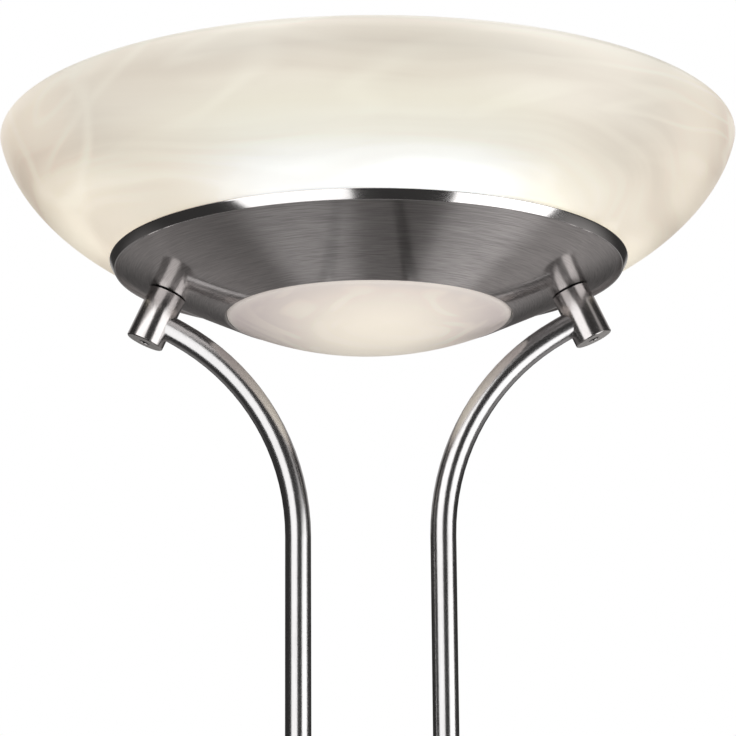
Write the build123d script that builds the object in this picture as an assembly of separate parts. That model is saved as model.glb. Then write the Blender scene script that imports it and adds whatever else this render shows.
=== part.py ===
from build123d import *
from math import atan, cos, radians, sin, tan
import os

# Torchiere floor lamp with a reading light, in millimetres.
# Origin: centre of the base on the floor. +Z is up, -Y is the front, where the knobs are.

# ---------------------------------------------------------------- driving sizes
overall_height = 1800.0

# glass bowl
bowl_radius = 203.0
glass_thickness = 5.0
bowl_foot_radius = 136.0        # where the flat foot turns up into the curved wall
bowl_mouth_radius = 120.0       # the hole in the bottom of the bowl
bowl_rim_lean = 76.0            # degrees from level at the rim

# pan under the bowl
pan_slope = 24.6                # degrees from level
pan_sheet = 1.5
pan_cone_radius = 139.9
hem_radius = 142.7              # the folded rim stands proud of the cone
hem_height = 6.1
lens_hole_radius = 78.5
lens_hole_height = overall_height - 98.6
collar_height = 5.6             # the sheet turned up round the lens
gasket_thickness = 1.2
seat_gap = 0.3

# lens of the reading light
lens_radius = 77.9
lens_drop = 16.6
lens_neck_height = 12.0
lens_wall = 4.0

# deck over the wiring space
deck_height = overall_height - 68.0
deck_radius = 113.0
deck_sheet = 1.0

# linear lamps
up_lamp_height = overall_height - 46.0
read_lamp_height = overall_height - 87.0
read_lamp_half_length = 39.0

# guard over the upper lamp
guard_wire = 2.4                # legs; the rails are thicker and the hoops thinner
guard_rail = 3.0
guard_hoop = 2.1
guard_half_width = 36.0
guard_half_length = 77.0
guard_rail_height = overall_height - 40.0
guard_top_height = overall_height - 21.0
guard_hinge_height = overall_height - 58.0
guard_hoops = 7
guard_leg_x = 62.0

# posts under the pan
post_x = 110.7
post_radius = 10.5
post_length = 30.3
post_tube_at = 16.7             # how far down the post the tube's axis crosses
tube_entry_slope = 30.0         # degrees from level, where the tube leaves the post

# tubes
tube_radius = 7.0
tube_bore = 6.0
tube_x = 39.1
bend_radius = 130.0
fit = 0.05                      # clearance of what is pushed or screwed in

# stem levels
coupler_height = 560.0
housing_bottom = 1062.0
housing_top = 1132.0
housing_radius = 13.0
housing_wall = 1.5
knob_height = 1104.0
knob_radius = 9.5
bridge_heights = (300.0, 830.0)

# base
base_radius = 150.0
base_rim = 13.0
base_height = 28.0
base_sheet = 1.2
weight_bottom = 4.0
weight_top = 21.0
weight_radius = 134.0
recess_radius = 62.0
recess_top = 16.0
lead_radius = 1.7

# ---------------------------------------------------------------- derived sizes
rim_height = overall_height
slope = radians(pan_slope)
rise = tan(slope)
sheet_rise = pan_sheet / cos(slope)
gasket_rise = gasket_thickness / cos(slope)
seat_rise = sheet_rise + gasket_rise + seat_gap / cos(slope)
glass_rise = glass_thickness / cos(slope)
sides = (("left", -1), ("right", 1))


def cone(radius):
    """Height of the pan's outer face at a radius."""
    return lens_hole_height + (radius - lens_hole_radius) * rise


# ---------------------------------------------------------------- helpers
def turned(*corners):
    """Solid of revolution about Z; each corner is (radius, height) or (radius, height, rounding)."""
    points = [corner[:2] for corner in corners]
    roundings = [corner[2] if len(corner) > 2 else 0 for corner in corners]
    outline = FilletPolyline(*points, radius=roundings, close=True)
    return revolve(make_face(Plane.XZ * outline), Axis.Z)


def rod(radius, start, end):
    """Round bar between two points."""
    start, end = Vector(*start), Vector(*end)
    along = end - start
    frame = Plane(origin=start, z_dir=along)
    return extrude(frame * Circle(radius), amount=along.length)


def bar(low, high):
    """Rectangular block between two opposite corners."""
    size = [b - a for a, b in zip(low, high)]
    middle = [(a + b) / 2 for a, b in zip(low, high)]
    return Pos(*middle) * Box(*size)


def wire(radius, points, bends):
    """Round wire or lead along straight runs joined by tangent arcs."""
    path = FilletPolyline(*points, radius=bends)
    section = Plane(origin=path @ 0, z_dir=path % 0) * Circle(radius)
    return sweep(section, path=path)


def hexagon(across_flats, height):
    """Hexagonal prism standing on Z = 0."""
    return extrude(RegularPolygon(across_flats / 2, 6, major_radius=False), amount=height)


def around(shape, count, start=0.0):
    """Copies of a shape, evenly spaced about Z."""
    return [Rot(0, 0, start + 360 * i / count) * shape for i in range(count)]


def save(name, *shapes):
    """Writes one node, which may hold several separate solids."""
    solids = [solid for shape in shapes for solid in shape.solids()]
    export_step(Compound(solids) if len(solids) > 1 else solids[0], f"parts/{name}.step")


def post_frame(sign):
    """Frame on the pan's outer face: Z runs down the post, X points in towards the stem."""
    return Plane(
        origin=(sign * post_x, 0, cone(post_x)),
        x_dir=(-sign * cos(slope), 0, -sin(slope)),
        z_dir=(sign * sin(slope), 0, -cos(slope)),
    ).location


def tube_start(sign):
    """Point on the post's axis where the tube's axis crosses it."""
    return (
        sign * (post_x + post_tube_at * sin(slope)),
        0,
        cone(post_x) - post_tube_at * cos(slope),
    )


def tube_corner(sign):
    """Point where the tube's sloping and upright axes would meet."""
    x, _, z = tube_start(sign)
    return (sign * tube_x, 0, z - (abs(x) - tube_x) * tan(radians(tube_entry_slope)))


def along_tube(sign, distance):
    """Point on the tube's sloping axis, measured from the post's axis towards the stem."""
    x, _, z = tube_start(sign)
    entry = radians(tube_entry_slope)
    return (x - sign * distance * cos(entry), 0, z - distance * sin(entry))


# ---------------------------------------------------------------- glass
def glass_bowl():
    """Curved bowl with a flat foot that lies on the gasket and a large hole in its bottom."""
    lean = radians(bowl_rim_lean)
    lip = glass_thickness / 2
    lip_height = rim_height - lip
    foot_out = cone(bowl_foot_radius) + seat_rise
    foot_in = cone(bowl_foot_radius - 2) + seat_rise + glass_rise
    mouth = cone(bowl_mouth_radius) + seat_rise
    inner_radius = bowl_radius - glass_thickness
    outer_pull, inner_pull, rim_pull = 36.0, 33.0, 27.5
    outline = [
        Line((bowl_mouth_radius, mouth), (bowl_foot_radius, foot_out)),
        Bezier(
            (bowl_foot_radius, foot_out),
            (bowl_foot_radius + outer_pull * cos(slope), foot_out + outer_pull * sin(slope)),
            (bowl_radius - rim_pull * cos(lean), lip_height - rim_pull * sin(lean)),
            (bowl_radius, lip_height),
        ),
        ThreePointArc(
            (bowl_radius, lip_height),
            (bowl_radius - lip, rim_height),
            (inner_radius, lip_height),
        ),
        Bezier(
            (inner_radius, lip_height),
            (inner_radius - rim_pull * cos(lean), lip_height - rim_pull * sin(lean)),
            (bowl_foot_radius - 2 + inner_pull * cos(slope), foot_in + inner_pull * sin(slope)),
            (bowl_foot_radius - 2, foot_in),
        ),
        Line((bowl_foot_radius - 2, foot_in), (bowl_mouth_radius, mouth + glass_rise)),
        ThreePointArc(
            (bowl_mouth_radius, mouth + glass_rise),
            (bowl_mouth_radius - lip, mouth + glass_rise / 2),
            (bowl_mouth_radius, mouth),
        ),
    ]
    profile = make_face([Plane.XZ * edge for edge in outline])
    return revolve(profile, Axis.Z)


def lens():
    """Shallow pressed dome with a soft shoulder and an upright neck."""
    edge = lens_hole_height + 0.2
    neck_top = edge + lens_neck_height
    neck_in = lens_radius - lens_wall
    dome_radius = (lens_radius**2 + lens_drop**2) / (2 * lens_drop)
    half_angle = atan(lens_radius / (dome_radius - lens_drop)) / 2
    outer_mid = (dome_radius * sin(half_angle), edge - lens_drop + dome_radius * (1 - cos(half_angle)))
    inner_radius = dome_radius - lens_wall
    inner_bottom = edge - lens_drop + lens_wall
    inner_edge = inner_bottom + inner_radius - (inner_radius**2 - neck_in**2) ** 0.5
    inner_mid = (inner_radius * sin(half_angle), inner_bottom + inner_radius * (1 - cos(half_angle)))
    outline = [
        ThreePointArc((0, edge - lens_drop), outer_mid, (lens_radius, edge)),
        Polyline((lens_radius, edge), (lens_radius, neck_top), (neck_in, neck_top), (neck_in, inner_edge)),
        ThreePointArc((neck_in, inner_edge), inner_mid, (0, inner_bottom)),
        Line((0, inner_bottom), (0, edge - lens_drop)),
    ]
    solid = revolve(make_face([Plane.XZ * edge for edge in outline]), Axis.Z)
    rings = solid.edges().filter_by(GeomType.CIRCLE)
    shoulder = [ring for ring in rings if abs(ring.radius - lens_radius) < 0.01 and ring.center().Z < edge + 0.1]
    return fillet(shoulder, 5.0)


# ---------------------------------------------------------------- pan and deck
def pan():
    """Spun dish: collar round the lens, straight cone, and a folded rim that stands proud."""
    hem_top = cone(pan_cone_radius) + 3.0
    hem_low = hem_top - hem_height
    hem_in = hem_radius - 2.7
    collar = lens_hole_radius + pan_sheet
    dish = turned(
        (lens_hole_radius, cone(lens_hole_radius), 0.9),
        (pan_cone_radius, cone(pan_cone_radius)),
        (pan_cone_radius, hem_low, 0.8),
        (hem_radius, hem_low, 1.3),
        (hem_radius, hem_top, 1.6),
        (hem_in, hem_top, 0.5),
        (hem_in, cone(hem_in) + sheet_rise),
        (collar, cone(collar) + sheet_rise),
        (collar, lens_hole_height + collar_height),
        (lens_hole_radius, lens_hole_height + collar_height),
    )
    for _, sign in sides:
        dish -= post_frame(sign) * Cylinder(nipple_radius + 0.2, 12)
    return dish


def bowl_gasket():
    """Flat silicone ring glued to the pan, on which the glass rests."""
    inner, outer = bowl_mouth_radius - 1, bowl_foot_radius
    return turned(
        (inner, cone(inner) + sheet_rise),
        (outer, cone(outer) + sheet_rise),
        (outer, cone(outer) + sheet_rise + gasket_rise),
        (inner, cone(inner) + sheet_rise + gasket_rise),
    )


standoff_circle = 100.0
standoff_start = 90.0
lead_hole_x = 86.0


def deck():
    """Shallow spun tray that closes the wiring space and carries the upper lamp."""
    top = deck_height + deck_sheet
    brim = deck_radius - 3
    tray = turned(
        (0, deck_height),
        (brim, deck_height, 1.6),
        (deck_radius, deck_height + 6),
        (deck_radius - deck_sheet, deck_height + 6),
        (brim - deck_sheet * 0.8, top, 0.8),
        (0, top),
    )
    for _, sign in sides:
        tray -= Pos(sign * lead_hole_x, 0, top) * Cylinder(3.0, 6)
    for hole in around(Pos(standoff_circle, 0, top) * Cylinder(2.1, 6), 3, standoff_start):
        tray -= hole
    return tray


def deck_standoffs():
    """Three pillars welded to the pan; their feet follow its slope."""
    foot = cone(standoff_circle)
    chamber = turned(
        (standoff_circle - 10, cone(standoff_circle - 10) + sheet_rise),
        (standoff_circle + 10, cone(standoff_circle + 10) + sheet_rise),
        (standoff_circle + 10, deck_height),
        (standoff_circle - 10, deck_height),
    )
    pillar = rod(4.0, (standoff_circle, 0, foot - 4), (standoff_circle, 0, deck_height))
    pillar &= chamber
    pillar -= rod(2.0, (standoff_circle, 0, deck_height - 7), (standoff_circle, 0, deck_height))
    return around(pillar, 3, standoff_start)


def deck_screws():
    """Three pan-head screws that hold the deck on its pillars."""
    top = deck_height + deck_sheet
    head = turned((0, top), (3.6, top), (3.6, top + 2.2, 1.4), (0, top + 2.2))
    shank = rod(1.95, (0, 0, deck_height - 6), (0, 0, top))
    return around(Pos(standoff_circle, 0, 0) * (head + shank), 3, standoff_start)


# ---------------------------------------------------------------- upper lamp
bracket_sheet = 1.5
bracket_half_width = 9.0
ear_x = 71.0
holder_depth = 13.0
base_top = deck_height + deck_sheet


def uplight_bracket():
    """Strip of steel bent up at both ends, with a rounded ear behind each lampholder."""
    ear_top = up_lamp_height + 9
    side_view = Polyline(
        (-ear_x, ear_top), (-ear_x, base_top), (ear_x, base_top), (ear_x, ear_top),
        (ear_x - bracket_sheet, ear_top), (ear_x - bracket_sheet, base_top + bracket_sheet),
        (-ear_x + bracket_sheet, base_top + bracket_sheet), (-ear_x + bracket_sheet, ear_top),
        close=True,
    )
    profile = make_face(Plane.XZ * side_view)
    strip = extrude(profile, amount=bracket_half_width, both=True)
    rounded = strip.edges().filter_by(Axis.X).group_by(Axis.Z)[-1]
    strip = fillet(rounded, 5.0)
    for _, sign in sides:
        strip -= rod(1.6, (sign * (ear_x - 4), 0, up_lamp_height - 6), (sign * (ear_x + 4), 0, up_lamp_height - 6))
        strip -= Pos(sign * 50, 0, base_top) * Cylinder(1.7, 8)
    return strip


def lampholder(inner_x, depth, half_width, low, high, axis_height, pocket_radius):
    """Ceramic block with a round pocket for the lamp's end and a sloping front edge."""
    block = bar((inner_x, -half_width, low), (inner_x + depth, half_width, high))
    block = chamfer(block.edges().filter_by(Axis.Y).group_by(Axis.Z)[-1].sort_by(Axis.X)[0], 3.0)
    block = fillet(block.edges().filter_by(Axis.X), 1.5)
    return block - rod(pocket_radius, (inner_x - 1, 0, axis_height), (inner_x + 3.2, 0, axis_height))


def linear_lamp(half_length, envelope_radius, envelope_half, cap_radius, height):
    """Quartz tube with pinched ends and a round ceramic cap on each end."""
    tube = turned(
        (0, -envelope_half),
        (envelope_radius, -envelope_half, envelope_radius * 0.6),
        (envelope_radius, envelope_half, envelope_radius * 0.6),
        (0, envelope_half),
    )
    shape = Pos(0, 0, height) * Rot(0, 90, 0) * tube
    for _, sign in sides:
        near, far = sign * (envelope_half - 1), sign * half_length
        cap_start = sign * (half_length - 9)
        shape += bar(
            (min(near, cap_start), -envelope_radius * 0.6, height - 1.3),
            (max(near, cap_start), envelope_radius * 0.6, height + 1.3),
        )
        shape += rod(cap_radius, (cap_start, 0, height), (far, 0, height))
    return shape


def uplight_reflector():
    """Curved trough of bright sheet under the lamp, with a flat strip that is riveted down."""
    radius, sheet, half_span = 46.0, 0.8, 26.0
    low = base_top + bracket_sheet
    flat = 8.0
    edge_height = low + radius - (radius**2 - (half_span - flat) ** 2) ** 0.5
    lower = [
        Line((-flat, low), (flat, low)),
        RadiusArc((flat, low), (half_span, edge_height), -radius),
        Line((half_span, edge_height), (half_span - sheet * 0.5, edge_height + sheet)),
        RadiusArc((half_span - sheet * 0.5, edge_height + sheet), (flat, low + sheet), radius - sheet),
        Line((flat, low + sheet), (-flat, low + sheet)),
        RadiusArc((-flat, low + sheet), (-half_span + sheet * 0.5, edge_height + sheet), radius - sheet),
        Line((-half_span + sheet * 0.5, edge_height + sheet), (-half_span, edge_height)),
        RadiusArc((-half_span, edge_height), (-flat, low), -radius),
    ]
    profile = make_face([Plane.YZ * edge for edge in lower])
    return extrude(profile, amount=52.0, both=True)


# ---------------------------------------------------------------- guard
def wire_guard():
    """Cage of bent wire: two rails, seven hoops, two hinge legs behind and two catch legs in front."""
    rail_y, rail_z = guard_half_width, guard_rail_height
    end = guard_half_length
    wires = [
        rod(guard_rail / 2, (-end - 2, y, rail_z), (end + 2, y, rail_z))
        for y in (-rail_y, rail_y)
    ]
    for i in range(guard_hoops):
        x = -end + 2 * end * i / (guard_hoops - 1)
        path = ThreePointArc((x, -rail_y, rail_z), (x, 0, guard_top_height), (x, rail_y, rail_z))
        section = Plane(origin=path @ 0, z_dir=path % 0) * Circle(guard_hoop / 2)
        wires.append(sweep(section, path=path))
    toe_height = base_top + 5
    for _, sign in sides:
        knee, toe = sign * guard_leg_x, sign * (guard_leg_x + 9)
        hinge = (knee, rail_y, guard_hinge_height)
        wires.append(wire(guard_wire / 2, [(knee, rail_y, rail_z), hinge, (toe, *hinge[1:])], 3.0))
        catch = (knee, -rail_y, toe_height)
        wires.append(wire(guard_wire / 2, [(knee, -rail_y, rail_z), catch, (knee, -rail_y - 7, toe_height)], 3.0))
    return wires[0].fuse(*wires[1:])


lug_x = guard_leg_x + 5.5
lug_sheet = 1.2


def guard_lugs():
    """Two small angle brackets on the deck with a hole for the guard's hinge pins."""
    lugs = []
    for _, sign in sides:
        face = sign * lug_x
        upright = bar(
            (face - lug_sheet / 2, guard_half_width - 4, base_top),
            (face + lug_sheet / 2, guard_half_width + 4, guard_hinge_height + 4),
        )
        upright = fillet(upright.edges().filter_by(Axis.X).group_by(Axis.Z)[-1], 3.5)
        foot_end = face + sign * 8
        upright += bar(
            (min(face, foot_end), guard_half_width - 4, base_top),
            (max(face, foot_end), guard_half_width + 4, base_top + lug_sheet),
        )
        hole = rod(
            guard_wire / 2 + 0.08,
            (face - 3, guard_half_width, guard_hinge_height),
            (face + 3, guard_half_width, guard_hinge_height),
        )
        lugs.append(upright - hole)
    return lugs


def guard_catches():
    """Two small spring tabs on the deck that the guard's front legs snap under."""
    catches = []
    for _, sign in sides:
        x = sign * guard_leg_x
        y = -guard_half_width - 4
        top = base_top + 5 + guard_wire / 2 + 0.5
        tab = bar((x - 3.5, y - 6, base_top), (x + 3.5, y - 5.2, top + 0.8))
        tab += bar((x - 3.5, y - 6, top), (x + 3.5, y - 1.5, top + 0.8))
        tab += bar((x - 3.5, y - 12, base_top), (x + 3.5, y - 5.2, base_top + 0.8))
        catches.append(tab)
    return catches


# ---------------------------------------------------------------- reading light
def reading_reflector():
    """Spun dish above the short lamp; its brim is the stop for the neck of the lens."""
    top = deck_height
    sheet = 0.8
    brim_low = lens_hole_height + 0.2 + lens_neck_height + 0.4
    return turned(
        (0, top - sheet),
        (56, top - sheet, 3.0),
        (71, brim_low, 2.0),
        (77.5, brim_low),
        (77.5, brim_low + sheet),
        (71.6, brim_low + sheet, 1.2),
        (56.6, top, 2.2),
        (0, top),
    )


def lens_springs(dish):
    """Three leaf springs welded inside the pan that press on the neck of the lens."""
    half = 0.3
    sit = sheet_rise + half / cos(slope) + 0.01
    neck = lens_radius + 0.4 + half
    path = FilletPolyline(
        (95, cone(95) + sit),
        (85, cone(85) + sit),
        (82.5, lens_hole_height + 11.5),
        (neck, lens_hole_height + 8.4),
        (81.0, lens_hole_height + 6.6),
        radius=[2.0, 1.2, 1.5],
    )
    strip = trace(path, line_width=2 * half)
    leaf = extrude(Plane.XZ * strip, amount=5.0, both=True) - dish
    return around(leaf, 3, 30.0)


# ---------------------------------------------------------------- posts
nipple_radius = 5.0
nipple_bore = 3.2


def post(sign, dish):
    """Turned bar with a saddle top, a blind cross bore for the tube and a bore at each end."""
    frame = post_frame(sign)
    block = extrude(Plane(frame) * Circle(post_radius), amount=post_length)
    block = chamfer(block.edges().sort_by(Axis.Z)[0], 0.5)
    block += frame * Pos(0, 0, -0.15) * Cylinder(post_radius, 0.5)
    block -= dish
    block -= frame * Pos(0, 0, post_tube_at / 2) * Cylinder(nipple_radius + fit, post_tube_at + 4)
    block -= frame * Pos(0, 0, post_length) * Cylinder(3.0 + fit, 2 * (post_length - post_tube_at))
    block -= rod(tube_radius + fit, along_tube(sign, -7.0), along_tube(sign, 20))
    return block


def post_nipples():
    """Threaded tubes that pass through the pan into the posts."""
    shape = Cylinder(nipple_radius, 18.0) - Cylinder(nipple_bore, 20.0)
    return [post_frame(sign) * Pos(0, 0, -0.8) * shape for _, sign in sides]


def saddle_washers(dish):
    """Washers inside the pan, hollowed to its curve."""
    washers = []
    for _, sign in sides:
        ring = Cylinder(9.5, 2.4) - Cylinder(nipple_radius + 0.2, 6)
        washers.append(post_frame(sign) * Pos(0, 0, -pan_sheet - 1.0) * ring - dish)
    return washers


def post_nuts():
    """Hexagon nuts on the nipples, inside the pan."""
    nut = hexagon(14.0, 4.0) - Cylinder(nipple_radius, 12)
    return [post_frame(sign) * Pos(0, 0, -pan_sheet - 6.3) * nut for _, sign in sides]


def post_screws():
    """Set screws in the ends of the posts that lock the tubes."""
    length = post_length - post_tube_at - tube_radius - 1.0
    screw = extrude(Circle(3.0), amount=length) - Pos(0, 0, length - 2.5) * hexagon(3.0, 3.0)
    return [post_frame(sign) * Pos(0, 0, post_length - length - 0.3) * screw for _, sign in sides]


# ---------------------------------------------------------------- tubes and leads
upper_tube_bottom = housing_top + 6.0


def upper_tube(sign):
    """Tube that starts inside the post, slopes in, bends and runs straight down."""
    points = [along_tube(sign, -6.5), tube_corner(sign), (sign * tube_x, 0, upper_tube_bottom)]
    tube = wire(tube_radius, points, bend_radius) - wire(tube_bore, points, bend_radius)
    lead_window = post_frame(sign) * Pos(0, 0, post_tube_at - 5) * Cylinder(3.4, 10)
    return tube - lead_window


def straight_tube(sign, low, high):
    """Plain length of tube."""
    place = Pos(sign * tube_x, 0, 0)
    return place * turned((tube_bore, low), (tube_radius, low), (tube_radius, high), (tube_bore, high))


def upper_lead(sign):
    """Lead from the dimmer up the tube, through the post and the nipple, to the head's terminals."""
    frame = post_frame(sign)
    inside = (frame * Pos(0, 0, -13.2)).position
    points = [
        (sign * tube_x, 0, knob_height + 18),
        tube_corner(sign),
        tube_start(sign),
        tuple(inside),
        (sign * (terminal_x + 6), 0, inside.Z),
    ]
    return wire(lead_radius, points, [bend_radius, 5.0, 3.4])


def lower_lead(sign):
    """Lead from the terminals in the base up the tubes to the dimmer."""
    level = weight_bottom + 2.2
    points = [(sign * 11, 0, level), (sign * tube_x, 0, level), (sign * tube_x, 0, knob_height - 18)]
    return wire(lead_radius, points, 5.0)


terminal_x = 86.0


def head_terminals():
    """Ceramic terminal blocks under the deck, one for each lead."""
    blocks = []
    for _, sign in sides:
        block = bar((-6, -11, deck_height - 8.5), (6, 11, deck_height))
        for y in (-5.5, 5.5):
            block -= rod(1.6, (-7, y, deck_height - 2.6), (7, y, deck_height - 2.6))
        blocks.append(Pos(sign * terminal_x, 0, 0) * block)
    return blocks


def uplight_leads():
    """Sleeved leads from the terminals through the deck to the upper lampholders."""
    level = up_lamp_height - 6
    return [
        wire(
            1.2,
            [(sign * lead_hole_x, 0, deck_height), (sign * lead_hole_x, 0, level), (sign * (ear_x - 1.5), 0, level)],
            5.0,
        )
        for _, sign in sides
    ]


def lead_bushings():
    """Rubber bushings in the deck's two lead holes."""
    top = deck_height + deck_sheet
    bush = turned((1.25, deck_height), (2.95, deck_height), (2.95, top), (4.4, top), (4.4, top + 1.6, 0.8),
                  (1.25, top + 1.6))
    return [Pos(sign * lead_hole_x, 0, 0) * bush for _, sign in sides]


def couplers():
    """Turned sleeves with an inner stop ring, where the tubes meet."""
    half, stop = 13.0, 1.0
    sleeve = turned(
        (tube_bore - 1, -stop), (tube_radius + fit, -stop), (tube_radius + fit, -half),
        (8.6, -half, 0.8), (8.6, half, 0.8), (tube_radius + fit, half), (tube_radius + fit, stop),
        (tube_bore - 1, stop),
    )
    return [Pos(sign * tube_x, 0, coupler_height) * sleeve for _, sign in sides]


def bridge(height):
    """Two rings round the tubes, joined by a slim waisted bar."""
    half_gap = tube_x - 8.5
    waist = revolve(
        make_face([
            Plane.XZ * Line((-half_gap, 0), (half_gap, 0)),
            Plane.XZ * Line((half_gap, 0), (half_gap, 4.5)),
            Plane.XZ * ThreePointArc((half_gap, 4.5), (0, 2.6), (-half_gap, 4.5)),
            Plane.XZ * Line((-half_gap, 4.5), (-half_gap, 0)),
        ]),
        Axis.X,
    )
    shape = waist
    for _, sign in sides:
        shape += Pos(sign * tube_x, 0, 0) * turned((0, -6), (10, -6, 1.5), (10, 6, 1.5), (0, 6))
    for _, sign in sides:
        shape -= Pos(sign * tube_x, 0, 0) * Cylinder(tube_radius + fit, 20)
        shape -= rod(1.6, (sign * tube_x, 5, 0), (sign * tube_x, 12, 0))
    return Pos(0, 0, height) * shape


def bridge_screws():
    """Grub screws in the backs of the bridges."""
    return [
        rod(1.55, (sign * tube_x, tube_radius + 0.1, height), (sign * tube_x, 9.6, height))
        for height in bridge_heights
        for _, sign in sides
    ]


# ---------------------------------------------------------------- dimmers
bushing_radius = 3.5
shaft_radius = 3.0


def housing(sign):
    """Turned shell round the dimmer, with a neck on the lower tube and a hole for the bushing."""
    bore = tube_radius + fit
    inside = housing_radius - housing_wall
    shell = turned(
        (bore, housing_bottom), (9.0, housing_bottom, 0.8), (9.0, housing_bottom + 9, 2.0),
        (housing_radius, housing_bottom + 15, 2.0), (housing_radius, housing_top - 2),
        (inside, housing_top - 2), (inside, housing_bottom + 16), (bore - 1.2, housing_bottom + 11),
        (bore - 1.2, housing_bottom + 10), (bore, housing_bottom + 10),
    )
    shell = Pos(sign * tube_x, 0, 0) * shell
    return shell - rod(bushing_radius + 0.1, (sign * tube_x, -20, knob_height), (sign * tube_x, -5, knob_height))


def housing_cap(sign):
    """Turned cap that closes the shell and holds the upper tube."""
    bore = tube_radius + fit
    inside = housing_radius - housing_wall
    cap = turned(
        (inside - 1.5, housing_top - 8), (inside - fit, housing_top - 8), (inside - fit, housing_top - 2),
        (housing_radius, housing_top - 2), (housing_radius, housing_top, 0.8), (9.0, housing_top + 6, 2.0),
        (9.0, housing_top + 15, 0.8), (bore, housing_top + 15), (bore, housing_top + 6),
        (bore - 1.2, housing_top + 6), (bore - 1.2, housing_top + 4.5), (inside - 1.5, housing_top),
    )
    return Pos(sign * tube_x, 0, 0) * cap


def dimmer(sign):
    """Moulded dimmer body with its threaded bushing."""
    body = bar((-7.5, -7.5, knob_height - 18), (7.5, 5.5, knob_height + 18))
    body = chamfer(body.edges().filter_by(Axis.Z), 1.0)
    body += rod(bushing_radius, (0, -7.5, knob_height), (0, -16.6, knob_height))
    body -= rod(shaft_radius + fit, (0, -3.9, knob_height), (0, -20, knob_height))
    return Pos(sign * tube_x, 0, 0) * body


def dimmer_nuts():
    """Flat nuts on the dimmers' bushings."""
    nut = hexagon(10.0, 2.2) - Cylinder(bushing_radius, 8)
    return [Pos(sign * tube_x, -housing_radius - 0.05, knob_height) * Rot(90, 0, 0) * nut for _, sign in sides]


def dimmer_shaft(sign):
    """Shaft with a flat, from inside the dimmer to the knob."""
    x = sign * tube_x
    shaft = rod(shaft_radius, (x, -4.0, knob_height), (x, -23.0, knob_height))
    return shaft - bar((x - 4, -24, knob_height + 2.0), (x + 4, -17.2, knob_height + 4))


knob_back = -housing_radius - 0.7
knob_front = -26.0


def knob(sign):
    """Turned knob with a fluted grip, a dished face, a hollow back and a pointer slot."""
    depth = knob_back - knob_front
    solid = turned((0, 0), (knob_radius, 0, 0.4), (knob_radius, depth, 1.2), (0, depth))
    flute = Pos(knob_radius + 0.35, 0, depth / 2 + 1.5) * Cylinder(0.8, depth - 6)
    for cut in around(flute, 24):
        solid -= cut
    solid -= Pos(0, 0, depth + 17.3) * Sphere(18.0)
    solid -= Cylinder(7.0, 2 * 3.4)
    solid -= Pos(0, 6.2, depth) * Box(1.0, 3.6, 1.2)
    solid = Pos(sign * tube_x, knob_back, knob_height) * Rot(90, 0, 0) * solid
    return solid - dimmer_shaft(sign)


# ---------------------------------------------------------------- base
def base_cover():
    """Spun cover: upright rim, soft dome and a flat top that carries the collars."""
    flat = 60.0
    inner = base_radius - base_sheet
    top = base_height - base_sheet
    low = 1.6
    outline = [
        Line((base_radius, low), (base_radius, base_rim)),
        Bezier((base_radius, base_rim), (base_radius, base_rim + 7), (flat + 52, base_height), (flat, base_height)),
        Line((flat, base_height), (0, base_height)),
        Line((0, base_height), (0, top)),
        Line((0, top), (flat, top)),
        Bezier((flat, top), (flat + 52, top), (inner, base_rim + 6), (inner, base_rim)),
        Line((inner, base_rim), (inner, low)),
        Line((inner, low), (base_radius, low)),
    ]
    cover = revolve(make_face([Plane.XZ * edge for edge in outline]), Axis.Z)
    for _, sign in sides:
        cover -= Pos(sign * tube_x, 0, base_height) * Cylinder(nipple_radius + 0.2, 10)
    return cover - rod(4.5, (0, base_radius - 5, inlet_height), (0, base_radius + 5, inlet_height))


inlet_height = 8.0


def base_weight():
    """Cast disc with a sloping shoulder, two bosses, a wiring recess and a channel for the mains lead."""
    disc = turned(
        (0, weight_bottom), (weight_radius, weight_bottom, 1.0), (weight_radius, 14, 2.0),
        (112, weight_top, 3.0), (0, weight_top),
    )
    for _, sign in sides:
        disc += Pos(sign * tube_x, 0, 0) * turned(
            (0, weight_top - 1), (14, weight_top - 1), (12.5, base_height - base_sheet), (0, base_height - base_sheet)
        )
    disc -= turned((0, 0), (recess_radius + 2, 0), (recess_radius, recess_top, 2.0), (0, recess_top))
    disc -= bar((-5.5, 40, 0), (5.5, 160, weight_bottom + 9))
    for _, sign in sides:
        disc -= Pos(sign * tube_x, 0, 20) * Cylinder(nipple_radius + 0.2, 30)
    return disc


def foot_ring():
    """Soft ring under the weight on which the lamp stands."""
    ring = turned((112, 0), (131, 0, 0.8), (131, weight_bottom), (112, weight_bottom))
    return ring - bar((-5.5, 100, -1), (5.5, 140, weight_bottom + 1))


def bottom_plate():
    """Fibre disc that closes the wiring recess."""
    disc = turned((0, 2.8), (72, 2.8), (72, weight_bottom), (0, weight_bottom))
    for hole in around(Pos(68, 0, 3) * Cylinder(1.9, 4), 3, 30.0):
        disc -= hole
    return disc


def bottom_screws():
    """Three low screws that hold the bottom plate."""
    head = turned((0, 1.0), (3.4, 1.0, 0.9), (3.4, 2.8), (0, 2.8))
    shank = rod(1.8, (0, 0, 2.8), (0, 0, weight_bottom))
    return around(Pos(68, 0, 0) * (head + shank), 3, 30.0)


collar_foot = base_height + 3.0


def base_collars():
    """Turned collars that carry the tubes on the cover."""
    collar = turned(
        (nipple_radius + 0.2, base_height), (12.5, base_height), (12.5, base_height + 3, 1.0),
        (9.0, base_height + 15, 2.0), (9.0, base_height + 20, 0.8), (tube_radius + fit, base_height + 20),
        (tube_radius + fit, collar_foot), (nipple_radius + 0.2, collar_foot),
    )
    return [Pos(sign * tube_x, 0, 0) * collar for _, sign in sides]


def stem_nipples():
    """Threaded tubes through cover and weight, which tie the stem to the base."""
    low, high = recess_top - 7.5, base_height + 20
    nipple = turned((nipple_bore, low), (nipple_radius, low), (nipple_radius, high), (nipple_bore, high))
    return [Pos(sign * tube_x, 0, 0) * nipple for _, sign in sides]


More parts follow.
